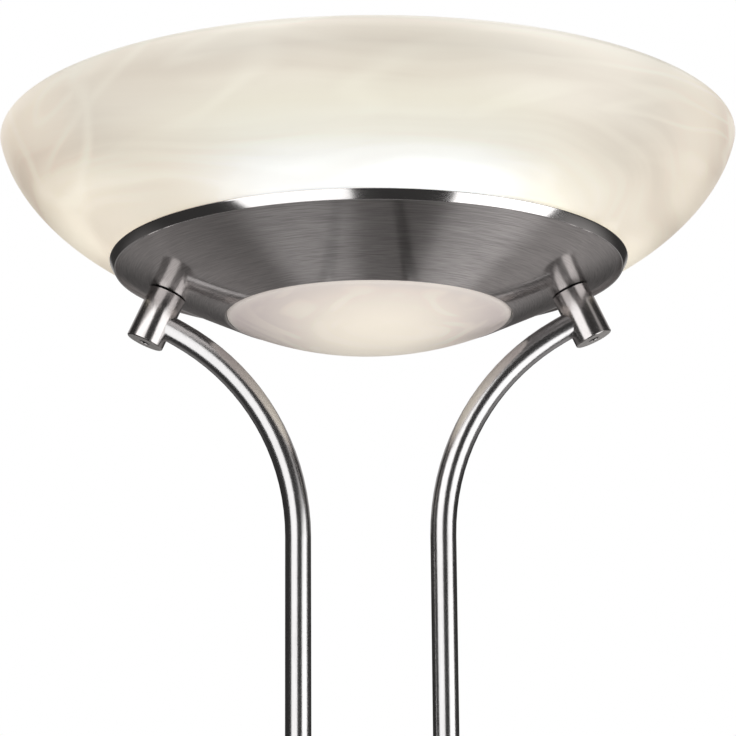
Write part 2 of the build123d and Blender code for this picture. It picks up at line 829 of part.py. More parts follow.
def tube_ferrules():
    """Threaded ferrules brazed into the lower ends of the stem."""
    low, high = collar_foot + 1, base_height + 18
    ferrule = turned((nipple_radius, low), (tube_bore, low), (tube_bore, high), (nipple_radius, high))
    return [Pos(sign * tube_x, 0, 0) * ferrule for _, sign in sides]


def base_washers():
    """Washers in the recess, under the nuts' load."""
    washer = turned((5.2, recess_top - 1.5), (11, recess_top - 1.5), (11, recess_top), (5.2, recess_top))
    return [Pos(sign * tube_x, 0, 0) * washer for _, sign in sides]


def base_nuts():
    """Hexagon nuts that clamp the stem to the base."""
    nut = hexagon(17.0, 5.0) - Cylinder(nipple_radius, 14)
    return [Pos(sign * tube_x, 0, recess_top - 6.5) * nut for _, sign in sides]


def mains_terminal():
    """Terminal block in the recess, where the mains lead would end."""
    block = bar((-11, -7, weight_bottom + 0.2), (11, 7, weight_bottom + 9.5))
    for x in (-6, 0, 6):
        block -= Pos(x, 0, weight_bottom + 9.5) * Cylinder(1.7, 6)
    return block


def mains_bushing():
    """Rubber bushing in the rear of the cover; the mains lead itself is left out."""
    bore, neck, flange = 3.6, 4.45, 6.0
    bush = turned(
        (bore, -2.6), (flange, -2.6, 0.6), (flange, -0.7), (neck, -0.7), (neck, 0.7),
        (flange, 0.7), (flange, 3.2, 1.0), (bore, 3.2),
    )
    return Pos(0, base_radius - base_sheet / 2, inlet_height) * Rot(-90, 0, 0) * bush


# ---------------------------------------------------------------- write the nodes
def main():
    os.makedirs("parts", exist_ok=True)
    dish = pan()

    save("glass_bowl", glass_bowl())
    save("lens", lens())
    save("pan", dish)
    save("bowl_gasket", bowl_gasket())
    save("deck", deck())
    save("deck_standoffs", *deck_standoffs())
    save("deck_screws", *deck_screws())

    up_low, up_high = up_lamp_height - 14, up_lamp_height + 9
    up_inner = ear_x - bracket_sheet - holder_depth
    holder = lampholder(up_inner, holder_depth, 8.0, up_low, up_high, up_lamp_height, 4.9)
    save("uplight_bracket", uplight_bracket())
    save("uplight_lampholders", holder, mirror(holder, Plane.YZ))
    save("uplight_lamp", linear_lamp(up_inner + 2.6, 6.0, 42.0, 4.6, up_lamp_height))
    save("uplight_reflector", uplight_reflector())
    save("wire_guard", wire_guard())
    save("guard_lugs", *guard_lugs())
    save("guard_catches", *guard_catches())

    read_low, read_high = read_lamp_height - 8, deck_height - 0.8
    read_inner = read_lamp_half_length - 2.6
    holder = lampholder(read_inner, 12.0, 7.0, read_low, read_high, read_lamp_height, 4.4)
    save("reading_reflector", reading_reflector())
    save("reading_lampholders", holder, mirror(holder, Plane.YZ))
    save("reading_lamp", linear_lamp(read_lamp_half_length, 5.5, 24.0, 4.1, read_lamp_height))
    save("lens_springs", *lens_springs(dish))

    save("post_nipples", *post_nipples())
    save("saddle_washers", *saddle_washers(dish))
    save("post_nuts", *post_nuts())
    save("post_screws", *post_screws())
    save("head_terminals", *head_terminals())
    save("uplight_leads", *uplight_leads())
    save("lead_bushings", *lead_bushings())

    for side, sign in sides:
        save(f"post_{side}", post(sign, dish))
        save(f"tube_upper_{side}", upper_tube(sign))
        save(f"tube_middle_{side}", straight_tube(sign, coupler_height + 1, housing_bottom + 10))
        save(f"tube_lower_{side}", straight_tube(sign, collar_foot, coupler_height - 1))
        save(f"housing_{side}", housing(sign))
        save(f"dimmer_shaft_{side}", dimmer_shaft(sign))
        save(f"knob_{side}", knob(sign))

    save("housing_caps", *[housing_cap(sign) for _, sign in sides])
    save("dimmers", *[dimmer(sign) for _, sign in sides])
    save("dimmer_nuts", *dimmer_nuts())
    save("upper_leads", *[upper_lead(sign) for _, sign in sides])
    save("lower_leads", *[lower_lead(sign) for _, sign in sides])
    save("couplers", *couplers())
    save("bridges", *[bridge(height) for height in bridge_heights])
    save("bridge_screws", *bridge_screws())

    save("base_cover", base_cover())
    save("base_weight", base_weight())
    save("foot_ring", foot_ring())
    save("bottom_plate", bottom_plate())
    save("bottom_screws", *bottom_screws())
    save("base_collars", *base_collars())
    save("stem_nipples", *stem_nipples())
    save("tube_ferrules", *tube_ferrules())
    save("base_washers", *base_washers())
    save("base_nuts", *base_nuts())
    save("mains_terminal", mains_terminal())
    save("mains_bushing", mains_bushing())


if __name__ == "__main__":
    main()
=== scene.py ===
"""Looks of a torchiere floor lamp with a reading light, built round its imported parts.

The lamp stands on the floor at the origin. +Z is up and -Y is the front. All sizes are in metres.
"""

from __future__ import annotations

import logging
import math
from dataclasses import dataclass
from enum import Enum
from typing import Callable, Mapping, Sequence, Union

import bmesh
import bpy
from mathutils import Matrix, Quaternion, Vector
from mathutils.geometry import interpolate_bezier

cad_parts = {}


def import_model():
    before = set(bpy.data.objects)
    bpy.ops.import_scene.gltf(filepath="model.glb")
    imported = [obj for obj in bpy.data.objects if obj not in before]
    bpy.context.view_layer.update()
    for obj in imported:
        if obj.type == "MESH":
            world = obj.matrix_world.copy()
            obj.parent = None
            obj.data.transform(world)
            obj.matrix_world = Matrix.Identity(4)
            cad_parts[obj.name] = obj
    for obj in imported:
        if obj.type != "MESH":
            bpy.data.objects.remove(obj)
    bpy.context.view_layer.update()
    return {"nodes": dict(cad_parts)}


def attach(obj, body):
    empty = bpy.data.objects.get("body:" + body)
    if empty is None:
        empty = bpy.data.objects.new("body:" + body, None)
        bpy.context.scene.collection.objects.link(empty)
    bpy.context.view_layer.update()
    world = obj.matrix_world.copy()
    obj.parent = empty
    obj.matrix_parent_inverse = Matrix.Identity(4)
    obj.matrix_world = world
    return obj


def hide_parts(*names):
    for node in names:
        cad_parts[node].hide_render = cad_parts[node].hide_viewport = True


LOG = logging.getLogger("torchiere")
MM = 0.001
TURN = 2 * math.pi
UP = Vector((0, 0, 1))
SIDES = (("left", -1), ("right", 1))
SAME_HEIGHT = 1e-6
SAME_POINT = 1e-7

Colour = tuple[float, float, float, float]
Stops = tuple[tuple[float, float, float, float], ...]
BLACK: Colour = (0.0, 0.0, 0.0, 1.0)
ALONG_Z = (160.0, 160.0, 2600.0)


class Slot(Enum):
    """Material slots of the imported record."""

    ALABASTER = "alabaster_glass"
    FROSTED = "frosted_glass"
    QUARTZ = "lamp_quartz"
    NICKEL = "brushed_nickel"
    TUBE = "satin_tube"
    ZINC = "zinc_steel"


class Body(Enum):
    """Bodies of the lamp that new pieces ride on."""

    LAMP = "lamp"
    BOWL = "glass_bowl"
    LENS = "lens"


def shown(red: float, green: float, blue: float) -> Colour:
    """A colour written as it is shown on a screen, from 0 to 1, in the linear values of shaders."""
    parts = (red, green, blue)
    return (*(c / 12.92 if c <= 0.04045 else ((c + 0.055) / 1.055) ** 2.4 for c in parts), 1.0)


def grey(level: float) -> Colour:
    """A neutral colour, written as it is shown on a screen."""
    return shown(level, level, level)


def scaled(colour: Colour, share: float, lift: float = 0.0) -> Colour:
    """A darker or lighter colour."""
    return (*(min(1.0, c * share + lift) for c in colour[:3]), 1.0)


BRASS = shown(0.86, 0.74, 0.46)


# ---------------------------------------------------------------- shader expressions
def operator(kind: str, swapped: bool = False) -> Callable[[Value, Input], Value]:
    """Makes the method behind a Python operator.

    Args:
        kind: The Math node's operation.
        swapped: Whether the other operand stands on the left.

    Returns:
        The method.
    """

    def apply(value: Value, other: Input) -> Value:
        """Adds the Math node."""
        return value.graph.maths(kind, *((other, value) if swapped else (value, other)))

    return apply


class Value:
    """A node's output that takes part in Python expressions."""

    __add__, __radd__ = operator("ADD"), operator("ADD", swapped=True)
    __sub__, __rsub__ = operator("SUBTRACT"), operator("SUBTRACT", swapped=True)
    __mul__, __rmul__ = operator("MULTIPLY"), operator("MULTIPLY", swapped=True)
    __truediv__, __rtruediv__ = operator("DIVIDE"), operator("DIVIDE", swapped=True)

    def __init__(self, graph: Graph, socket: bpy.types.NodeSocket) -> None:
        """Keeps the socket and the graph that its new nodes go to."""
        self.graph = graph
        self.socket = socket

    def __abs__(self) -> Value:
        """Size without its sign."""
        return self.graph.maths("ABSOLUTE", self)

    def output(self, name: Union[str, int]) -> Value:
        """Another output of the same node."""
        return Value(self.graph, self.socket.node.outputs[name])


Input = Union[Value, float, int, Sequence[float]]
Inputs = Mapping[Union[str, int], Input]


class Graph:
    """Adds nodes to one node tree."""

    def __init__(self, tree: bpy.types.NodeTree) -> None:
        """Starts from an empty tree."""
        self.tree = tree
        tree.nodes.clear()

    def add(self, kind: str, inputs: Inputs | None = None, **settings: object) -> Value | None:
        """Adds a node.

        Args:
            kind: The node's type.
            inputs: Numbers, colours or links for the sockets, by name or index.
            settings: Properties, set before the sockets; "stops" are a ramp's places and colours.

        Returns:
            The node's first output, where it has one.
        """
        node = self.tree.nodes.new(kind)
        for name, setting in settings.items():
            if name == "stops":
                self.set_stops(node.color_ramp, setting)
            else:
                setattr(node, name, setting)
        for name, given in (inputs or {}).items():
            if isinstance(given, Value):
                self.tree.links.new(given.socket, node.inputs[name])
            else:
                node.inputs[name].default_value = given
        return Value(self, node.outputs[0]) if node.outputs else None

    @staticmethod
    def set_stops(ramp: bpy.types.ColorRamp, stops: Stops) -> None:
        """Puts stops on a colour ramp.

        Args:
            ramp: The ramp.
            stops: Place, red, green and blue of each stop.
        """
        while len(ramp.elements) < len(stops):
            ramp.elements.new(1.0)
        for element, (place, *colour) in zip(ramp.elements, stops):
            element.position = place
            element.color = (*colour, 1.0)

    def maths(self, operation: str, *values: Input) -> Value:
        """A Math node."""
        return self.add("ShaderNodeMath", dict(enumerate(values)), operation=operation)

    def most(self, *values: Input) -> Value:
        """The larger of two values."""
        return self.maths("MAXIMUM", *values)

    def length(self, x: Value, y: Value) -> Value:
        """Length of the diagonal of x and y."""
        return self.maths("SQRT", x * x + y * y)

    def vector(self, operation: str, *values: Input) -> Value:
        """A Vector Math node."""
        return self.add("ShaderNodeVectorMath", dict(enumerate(values)), operation=operation)

    def mix(self, first: Input, second: Input, share: Input, blend: str = "MIX") -> Value:
        """Mixes two colours by the share of the second."""
        inputs = {0: share, 6: first, 7: second}
        return self.add("ShaderNodeMix", inputs, data_type="RGBA", blend_type=blend).output(2)

    def dim(self, colour: Input, share: Input) -> Value:
        """A share of a colour's light."""
        return self.mix(BLACK, colour, share)

    def blend(self, first: Value, second: Value, share: Input) -> Value:
        """Mixes two shaders by the share of the second."""
        return self.add("ShaderNodeMixShader", {0: share, 1: first, 2: second})

    def position(self) -> Value:
        """Place on the piece, in the lamp's own frame."""
        return self.add("ShaderNodeTexCoord").output("Object")

    def stretched(self, scale: Sequence[float]) -> Value:
        """Place on the piece, scaled along each axis."""
        return self.vector("MULTIPLY", self.position(), scale)

    def coordinates(self) -> tuple[Value, Value, Value]:
        """X, Y and Z of the place on the piece."""
        x = self.add("ShaderNodeSeparateXYZ", {0: self.position()})
        return x, x.output(1), x.output(2)

    def around(self) -> tuple[Value, Value, Value, Value]:
        """Finds the place from the lamp's axis.

        Returns:
            The direction from the axis as its X and Y parts, the distance and the height.
        """
        x, y, z = self.coordinates()
        radius = self.length(x, y)
        return x / radius, y / radius, radius, z

    def step(self, value: Value, low: float, high: float) -> Value:
        """Rises smoothly from 0 at low to 1 at high."""
        inputs = {0: value, 1: low, 2: high}
        return self.add("ShaderNodeMapRange", inputs, interpolation_type="SMOOTHSTEP")

    def noise(
        self,
        place: Union[Value, Sequence[Input]],
        scale: float = 1.0,
        detail: float = 2.0,
        rough: float = 0.5,
        w: Value | None = None,
    ) -> Value:
        """Adds soft noise from 0 to 1.

        Args:
            place: A vector, or its three parts.
            scale: How fine the noise is.
            detail: How many finer layers it has.
            rough: How much the finer layers show.
            w: The fourth part of the place, for noise in four dimensions.

        Returns:
            The noise.
        """
        if not isinstance(place, Value):
            place = self.add("ShaderNodeCombineXYZ", dict(enumerate(place)))
        inputs = {"Vector": place, "Scale": scale, "Detail": detail, "Roughness": rough}
        if w is None:
            return self.add("ShaderNodeTexNoise", inputs)
        return self.add("ShaderNodeTexNoise", {"W": w, **inputs}, noise_dimensions="4D")

    def bump(self, height: Value, distance: float) -> Value:
        """A normal that follows a height, whose full range is the distance."""
        return self.add("ShaderNodeBump", {"Strength": 1.0, "Distance": distance, "Height": height})

    def seen_by(self, *kinds: str) -> Value:
        """Finds rays.

        Args:
            kinds: Kinds of ray, such as Camera.

        Returns:
            1 for a ray of one of the kinds, and 0 for any other.
        """
        rays = self.add("ShaderNodeLightPath")
        seen, *others = (rays.output(f"Is {kind} Ray") for kind in kinds)
        for other in others:
            seen = self.most(seen, other)
        return seen

    def surface(self, **sockets: Input) -> Value:
        """A Principled shader; an underscore in a name stands for a space."""
        named = {name.replace("_", " "): given for name, given in sockets.items()}
        return self.add("ShaderNodeBsdfPrincipled", named)


# ---------------------------------------------------------------- finishes
@dataclass(frozen=True)
class Finish:
    """A surface finish, made once as a node material."""

    name: str

    def material(self) -> bpy.types.Material:
        """Makes the finish's material the first time.

        Returns:
            The material.
        """
        found = bpy.data.materials.get(self.name)
        if found:
            return found
        made = bpy.data.materials.new(self.name)
        made.use_nodes = True
        graph = Graph(made.node_tree)
        graph.add("ShaderNodeOutputMaterial", {"Surface": self.shade(graph)})
        return made

    def shade(self, graph: Graph) -> Value:
        """Adds the finish's nodes and returns its shader."""
        raise NotImplementedError


@dataclass(frozen=True)
class SpunMetal(Finish):
    """Metal brushed in rings about an upright axis, which smears its reflections across them."""

    tint: Colour = shown(0.86, 0.84, 0.835)
    fine_rough: float = 0.10
    wide_rough: float = 0.45
    wide_share: float = 0.52
    ring_pitch: float = 0.5 * MM
    depth: float = 0.002 * MM

    def shade(self, graph: Graph) -> Value:
        """Fine rings change the colour, the gloss and the normal a little.

        Args:
            graph: The material's nodes.

        Returns:
            The shader.
        """
        across, front, radius, z = graph.around()
        along = (across * 9.0, front * 9.0, z / self.ring_pitch)
        rings = graph.noise(along, detail=3.0, w=radius / self.ring_pitch)
        wide = graph.noise((across * 2.0, front * 2.0, z * 90.0), w=radius * 90.0)
        bright = graph.step(rings * 0.7 + wide * 0.3, 0.28, 0.68)
        fine, broad = (
            graph.surface(
                Base_Color=graph.mix(scaled(self.tint, 0.72), self.tint, bright),
                Metallic=1.0,
                Roughness=rough,
                Anisotropic=smear,
                Anisotropic_Rotation=0.25,
                Normal=graph.bump(rings, self.depth),
            )
            for rough, smear in (
                (self.fine_rough + (rings - 0.5) * 0.06, 0.6),
                (self.wide_rough + (wide - 0.5) * 0.04, 1.0),
            )
        )
        return graph.blend(fine, broad, self.wide_share + (rings - 0.5) * 0.3)


@dataclass(frozen=True)
class SatinPlate(Finish):
    """Satin plate on turned and drawn pieces, with faint lines along or round them."""

    tint: Colour = shown(0.80, 0.785, 0.78)
    rough: float = 0.15
    along: tuple[float, float, float] = (2600.0, 2600.0, 60.0)
    wear: float = 0.05
    depth: float = 0.0003 * MM

    def shade(self, graph: Graph) -> Value:
        """Streaked noise for the brushing and clouds for handling marks.

        Args:
            graph: The material's nodes.

        Returns:
            The shader.
        """
        streaks = graph.noise(graph.stretched(self.along))
        clouds = graph.noise(graph.position(), 38.0, 3.0)
        bright = graph.step(streaks * 0.5 + clouds * 0.5, 0.3, 0.62)
        return graph.surface(
            Base_Color=graph.mix(scaled(self.tint, 0.88), self.tint, bright),
            Metallic=1.0,
            Roughness=self.rough + (streaks - 0.5) * 0.04 + (clouds - 0.5) * self.wear,
            Normal=graph.bump(streaks, self.depth),
        )


@dataclass(frozen=True)
class PlatedSteel(Finish):
    """Zinc or nickel plate on pressed sheet and small fittings, slightly clouded."""

    tint: Colour = shown(0.74, 0.75, 0.76)
    stain: Colour = shown(0.60, 0.61, 0.60)
    rough: float = 0.30
    scale: float = 160.0
    depth: float = 0.01 * MM

    def shade(self, graph: Graph) -> Value:
        """Clouds of duller plate and a fine pressed grain.

        Args:
            graph: The material's nodes.

        Returns:
            The shader.
        """
        place = graph.position()
        share = graph.step(graph.noise(place, self.scale, 4.0, 0.6), 0.35, 0.65)
        grain = graph.noise(place, self.scale * 14)
        return graph.surface(
            Base_Color=graph.mix(self.stain, self.tint, share),
            Metallic=1.0,
            Roughness=self.rough + (1 - share) * 0.14 + (grain - 0.5) * 0.08,
            Normal=graph.bump(grain, self.depth),
        )


def dark_steel(name: str, level: float, stain: float, rough: float) -> PlatedSteel:
    """Darkened steel, with its levels of grey."""
    return PlatedSteel(name, tint=grey(level), stain=grey(stain), rough=rough, scale=600.0)


@dataclass(frozen=True)
class Alabaster(Finish):
    """Pressed glass with alabaster swirls, with a painted glow that stands in for the upper lamp
    lighting it from inside.
    """

    cream: Colour = shown(0.915, 0.885, 0.835)
    cloud: Colour = shown(0.835, 0.785, 0.73)
    veil: Colour = shown(0.965, 0.945, 0.895)
    foot_height: float = 1.73
    rim_height: float = 1.8
    # Painted glow of the lamp inside, by height from the foot to the rim.
    glow: Stops = (
        (0.00, 0.62, 0.76, 0.94),
        (0.12, 0.54, 0.67, 0.83),
        (0.21, 0.37, 0.47, 0.58),
        (0.31, 0.22, 0.27, 0.28),
        (0.50, 0.15, 0.17, 0.14),
        (0.66, 0.12, 0.13, 0.11),
        (0.83, 0.01, 0.01, 0.0),
        (0.92, 0.11, 0.12, 0.115),
        (1.00, 0.36, 0.39, 0.42),
    )
    # Painted glow at the sides, dimmer than in front.
    painted_side_glow: Stops = (
        (0.00, 0.44, 0.46, 0.44),
        (0.20, 0.35, 0.37, 0.35),
        (0.35, 0.21, 0.22, 0.20),
        (0.60, 0.14, 0.14, 0.13),
        (0.84, 0.16, 0.16, 0.15),
        (1.00, 0.27, 0.29, 0.30),
    )
    # Painted glow added where the bowl turns away at its sides.
    painted_edge_glow: Colour = (0.19, 0.16, 0.135, 1.0)

    def veils(self, graph: Graph, across: Value, front: Value, climb: Value) -> Value:
        """Draws thin pale arcs at the sides and combed wisps higher up.

        Args:
            graph: The material's nodes.
            across: X part of the direction from the axis.
            front: Y part of it.
            climb: Height from 0 at the foot to 1 at the rim.

        Returns:
            How much veil there is, from 0 to 1.
        """
        bend = graph.noise((across * 0.7 - 2.0, front * 0.7, climb * 0.8), detail=0.0)
        curled = (across * 1.5, front * 1.5 + 3.0, climb * 1.3 + bend * 2.0)
        arcs = 1 - graph.step(abs(graph.noise(curled, detail=1.0) - 0.56), 0.0, 0.045)
        slanted = (across * 1.4 + 9.0, front * 1.4, climb * 2.6 - across * 0.9 + bend * 2.4)
        wisps = 1 - graph.step(abs(graph.noise(slanted, detail=1.0) - 0.5), 0.0, 0.05)
        at_side, high = graph.step(abs(across), 0.35, 0.75), graph.step(climb, 0.30, 0.60)
        return graph.most(arcs * at_side, wisps * high * 0.75)

    def paint_glow(self, graph: Graph, across: Value, climb: Value, level: Value) -> Value:
        """Paints the glow of the lamp inside, most at its foot and where it turns away.

        Args:
            graph: The material's nodes.
            across: X part of the direction from the axis.
            climb: Height from 0 at the foot to 1 at the rim.
            level: The height, made a little uneven.

        Returns:
            The colour of the painted glow.
        """
        lit, side_lit = (
            graph.add("ShaderNodeValToRGB", {"Fac": level}, stops=stops)
            for stops in (self.glow, self.painted_side_glow)
        )
        aside = abs(across)
        lit = graph.mix(lit, side_lit, graph.step(aside, 0.30, 0.68))
        painted_edge_share = graph.step(aside, 0.70, 0.96) * 0.85 + graph.step(aside, 0.93, 1.0) * 0.55
        edge = graph.dim(self.painted_edge_glow, painted_edge_share * (0.7 + graph.step(climb, 0.05, 0.4) * 0.3))
        return graph.mix(lit, edge, 1.0, "ADD")

    def shade(self, graph: Graph) -> Value:
        """Long streaks that wander round the bowl, paler veils, and a painted glow that fades
        upwards.

        Args:
            graph: The material's nodes.

        Returns:
            The shader.
        """
        across, front, _, z = graph.around()
        climb = (z - self.foot_height) / (self.rim_height - self.foot_height)
        drift = graph.noise((across * 1.1 + 3.0, front * 1.1, climb * 0.7), detail=1.0) - 0.5
        height = climb + drift * 1.15 + across * 0.30
        wide = graph.noise((across * 0.8 + 7.0, front * 0.8, height * 2.9), 1.0, 1.5, 0.4)
        fine = graph.noise((across * 1.2, front * 1.2 + 5.0, height * 11.0), detail=3.0)
        cloudy = graph.step(wide * 0.78 + fine * 0.22, 0.36, 0.66)
        veil = self.veils(graph, across, front, climb)

        body = graph.mix(self.cream, self.cloud, cloudy * 0.55)
        body = graph.mix(body, self.veil, veil * 0.32)
        lit = self.paint_glow(graph, across, climb, climb + drift * 0.05 + across * 0.03)
        # Share of the painted glow: less on the right and where the glass is cloudy, more in the
        # veils.
        share = 1 - graph.step(across, 0.2, 1.0) * 0.25 + (0.5 - cloudy) * 0.22 + veil * 0.10
        return graph.surface(
            Base_Color=body,
            Roughness=0.36 + (fine - 0.5) * 0.14,
            Coat_Weight=0.20 + (wide - 0.5) * 0.2,
            Coat_Roughness=0.15,
            # Painted glow: emission that stands in for the lamp's light through the glass.
            Emission_Color=graph.dim(graph.mix(lit, body, 1.0, "MULTIPLY"), share),
            Emission_Strength=1.25,
            Normal=graph.bump(fine, 0.08 * MM),
        )


@dataclass(frozen=True)
class FrostedGlass(Finish):
    """Frosted pressed glass, rosy grey towards its edge, with a painted yellowish glow over the
    short lamp.
    """

    # The yellowish tint over the lamp is painted glow.
    painted_glow_tint: Colour = shown(0.95, 0.91, 0.845)
    rosy: Colour = shown(0.815, 0.765, 0.755)
    rim_tint: Colour = shown(0.87, 0.83, 0.80)
    # Painted glow of the lamp: at the edge, over the lamp and at the rim.
    painted_glow_edge: Colour = (0.15, 0.135, 0.125, 1.0)
    painted_glow_centre: Colour = (0.36, 0.335, 0.29, 1.0)
    painted_glow_rim: Colour = (0.20, 0.19, 0.18, 1.0)
    radius: float = 0.0779
    reach: tuple[float, float] = (0.080, 0.074)
    flat: float = 0.024
    offset: tuple[float, float] = (0.004, 0.006)

    def shade(self, graph: Graph) -> Value:
        """A painted glow round the lamp, in both the colour and the light, faint swirls and a paler
        pressed rim with its own painted glow.

        Args:
            graph: The material's nodes.

        Returns:
            The shader.
        """
        x, y, z = graph.coordinates()
        flat = graph.most(abs(y + self.offset[1]) - self.flat, 0.0)
        away = graph.length((x - self.offset[0]) / self.reach[0], flat / self.reach[1])
        rim = graph.step(graph.length(x, y) / self.radius, 0.925, 0.985)
        curl = graph.noise((x * 16 + 4.0, y * 16, z * 16), detail=0.0)
        swirl = graph.noise((x * 16 + curl * 7.0, y * 30 + curl * 3.0, z * 20), detail=1.0)
        fold = 1 - graph.step(abs(swirl - 0.50), 0.0, 0.05)
        veil = graph.step(swirl, 0.38, 0.58) * 0.8 + fold * 0.2
        # Share of the painted glow, most over the lamp.
        painted_glow_share = 1 - graph.step(away + (veil - 0.5) * 0.09, 0.12, 1.0)
        body = graph.mix(self.rosy, self.painted_glow_tint, painted_glow_share * 0.95 - veil * 0.12 + 0.05)
        # Painted glow: emission that stands in for the short lamp's light through the glass.
        lit = graph.dim(graph.mix(self.painted_glow_edge, self.painted_glow_centre, painted_glow_share), 1.09 - veil * 0.13)
        return graph.surface(
            Base_Color=graph.mix(body, self.rim_tint, rim * 0.7),
            Roughness=0.42 + veil * 0.08,
            Coat_Weight=0.12 + rim * 0.2,
            Coat_Roughness=0.25,
            Emission_Color=graph.mix(lit, self.painted_glow_rim, rim * 0.6),
            Emission_Strength=1.0,
            Normal=graph.bump(graph.noise(graph.position(), 1500.0), 0.01 * MM),
        )


@dataclass(frozen=True)
class Quartz(Finish):
    """Clear fused quartz, a little wavy where it was drawn."""

    tint: Colour = shown(0.98, 0.98, 0.97)
    cold: Colour = shown(0.93, 0.95, 0.97)

    def shade(self, graph: Graph) -> Value:
        """Clear glass with a faint waviness along the tube.

        Args:
            graph: The material's nodes.

        Returns:
            The shader.
        """
        waves = graph.noise(graph.stretched((40.0, 300.0, 300.0)))
        return graph.surface(
            Base_Color=graph.mix(self.tint, self.cold, waves),
            Roughness=0.03 + waves * 0.02,
            IOR=1.458,
            Transmission_Weight=1.0,
            Normal=graph.bump(waves, 0.05 * MM),
        )


@dataclass(frozen=True)
class Glowing(Finish):
    """A filament at work, hottest in the middle of its length."""

    reach: float = 0.034
    cool: Colour = shown(1.0, 0.62, 0.28)
    hot: Colour = shown(1.0, 0.95, 0.80)

    def shade(self, graph: Graph) -> Value:
        """Yellow-white that falls off towards the ends.

        Args:
            graph: The material's nodes.

        Returns:
            The shader.
        """
        x, _, _ = graph.coordinates()
        heat = 1 - graph.step(abs(x), self.reach * 0.6, self.reach * 1.25)
        light = graph.mix(self.cool, self.hot, heat)
        return graph.surface(
            Base_Color=light, Roughness=0.6, Emission_Color=light, Emission_Strength=2.2
        )


@dataclass(frozen=True)
class Threaded(Finish):
    """Plated steel with a rolled thread."""

    tint: Colour = shown(0.72, 0.73, 0.73)
    axis: tuple[float, float, float] = (0.0, 0.0, 1.0)
    pitch: float = 1.0 * MM

    def shade(self, graph: Graph) -> Value:
        """Rounded grooves across the axis, darker in their roots and clouded with grime.

        Args:
            graph: The material's nodes.

        Returns:
            The shader.
        """
        place = graph.position()
        along = graph.vector("DOT_PRODUCT", place, self.axis).output("Value")
        groove = graph.maths("SINE", along * (TURN / self.pitch)) * 0.5 + 0.5
        grime = graph.noise(place, 700.0, 3.0)
        # Share of the lighter tint: lower in the groove roots and where the grime noise is low.
        lighter_share = graph.step(groove * 0.8 + grime * 0.2, 0.1, 0.5)
        return graph.surface(
            Base_Color=graph.mix(scaled(self.tint, 0.45), self.tint, lighter_share),
            Metallic=1.0,
            Roughness=0.30 + grime * 0.15,
            Normal=graph.bump(groove, 0.5 * MM),
        )


@dataclass(frozen=True)
class Steatite(Finish):
    """Unglazed ceramic with fine pores."""

    tint: Colour = shown(0.92, 0.91, 0.88)
    stain: Colour = shown(0.84, 0.82, 0.78)

    def shade(self, graph: Graph) -> Value:
        """Chalky body with small dark pores and a slight cast of the mould.

        Args:
            graph: The material's nodes.

        Returns:
            The shader.
        """
        place = graph.position()
        body = graph.noise(place, 220.0, 3.0)
        pores = graph.step(graph.noise(place, 2600.0), 0.28, 0.42)
        lighter_share = graph.step(body, 0.3, 0.7) * 0.6 + pores * 0.4
        return graph.surface(
            Base_Color=graph.mix(self.stain, self.tint, lighter_share),
            Roughness=0.62 + body * 0.12,
            Normal=graph.bump(pores, 0.02 * MM),
        )


@dataclass(frozen=True)
class Moulded(Finish):
    """Moulded resin, rubber or silicone: a tint with a fine matt grain."""

    tint: Colour = grey(0.12)
    rough: float = 0.55
    grain: float = 1800.0
    depth: float = 0.02 * MM

    def shade(self, graph: Graph) -> Value:
        """Grain in the normal, and dust and handling in the colour and gloss.

        Args:
            graph: The material's nodes.

        Returns:
            The shader.
        """
        place = graph.position()
        grain = graph.noise(place, self.grain, 3.0)
        dust = graph.noise(place, 60.0, 4.0, 0.6)
        light = scaled(self.tint, 1.35, 0.004)
        return graph.surface(
            Base_Color=graph.mix(self.tint, light, dust * 0.6 + grain * 0.4),
            Roughness=self.rough + (dust - 0.5) * 0.15 + (grain - 0.5) * 0.1,
            Normal=graph.bump(grain, self.depth),
        )


@dataclass(frozen=True)
class Casting(Finish):
    """Enamelled grey-iron casting with a sandy skin."""

    tint: Colour = grey(0.17)

    def shade(self, graph: Graph) -> Value:
        """Sand grain, a few pits and darker low places.

        Args:
            graph: The material's nodes.

        Returns:
            The shader.
        """
        place = graph.position()
        sand = graph.noise(place, 520.0, 4.0, 0.65)
        lumps = graph.noise(place, 45.0)
        proud = graph.step(sand, 0.35, 0.75)
        return graph.surface(
            Base_Color=graph.mix(self.tint, scaled(self.tint, 1.7), proud),
            Roughness=0.38 + sand * 0.25,
            Normal=graph.bump(sand * 0.7 + lumps * 0.3, 0.35 * MM),
        )


@dataclass(frozen=True)
class Braid(Finish):
    """Woven glass-fibre sleeve on the leads."""

    tint: Colour = shown(0.90, 0.89, 0.84)
    scale: float = 320.0

    def wave(self, graph: Graph, inputs: Inputs) -> Value:
        """One of the two sets of slanting waves."""
        return graph.add("ShaderNodeTexWave", inputs, bands_direction="DIAGONAL").output("Fac")

    def shade(self, graph: Graph) -> Value:
        """Crossed waves for the weave.

        Args:
            graph: The material's nodes.

        Returns:
            The shader.
        """
        one, two = (
            {"Vector": graph.stretched((way, 1.0, 1.0)), "Scale": self.scale, "Distortion": 0.4}
            for way in (1.0, -1.0)
        )
        weave = self.wave(graph, one) * 0.5 + self.wave(graph, two) * 0.5
        return graph.surface(
            Base_Color=graph.mix(scaled(self.tint, 0.62), self.tint, weave),
            Roughness=0.7 - weave * 0.1,
            Normal=graph.bump(weave, 0.12 * MM),
        )


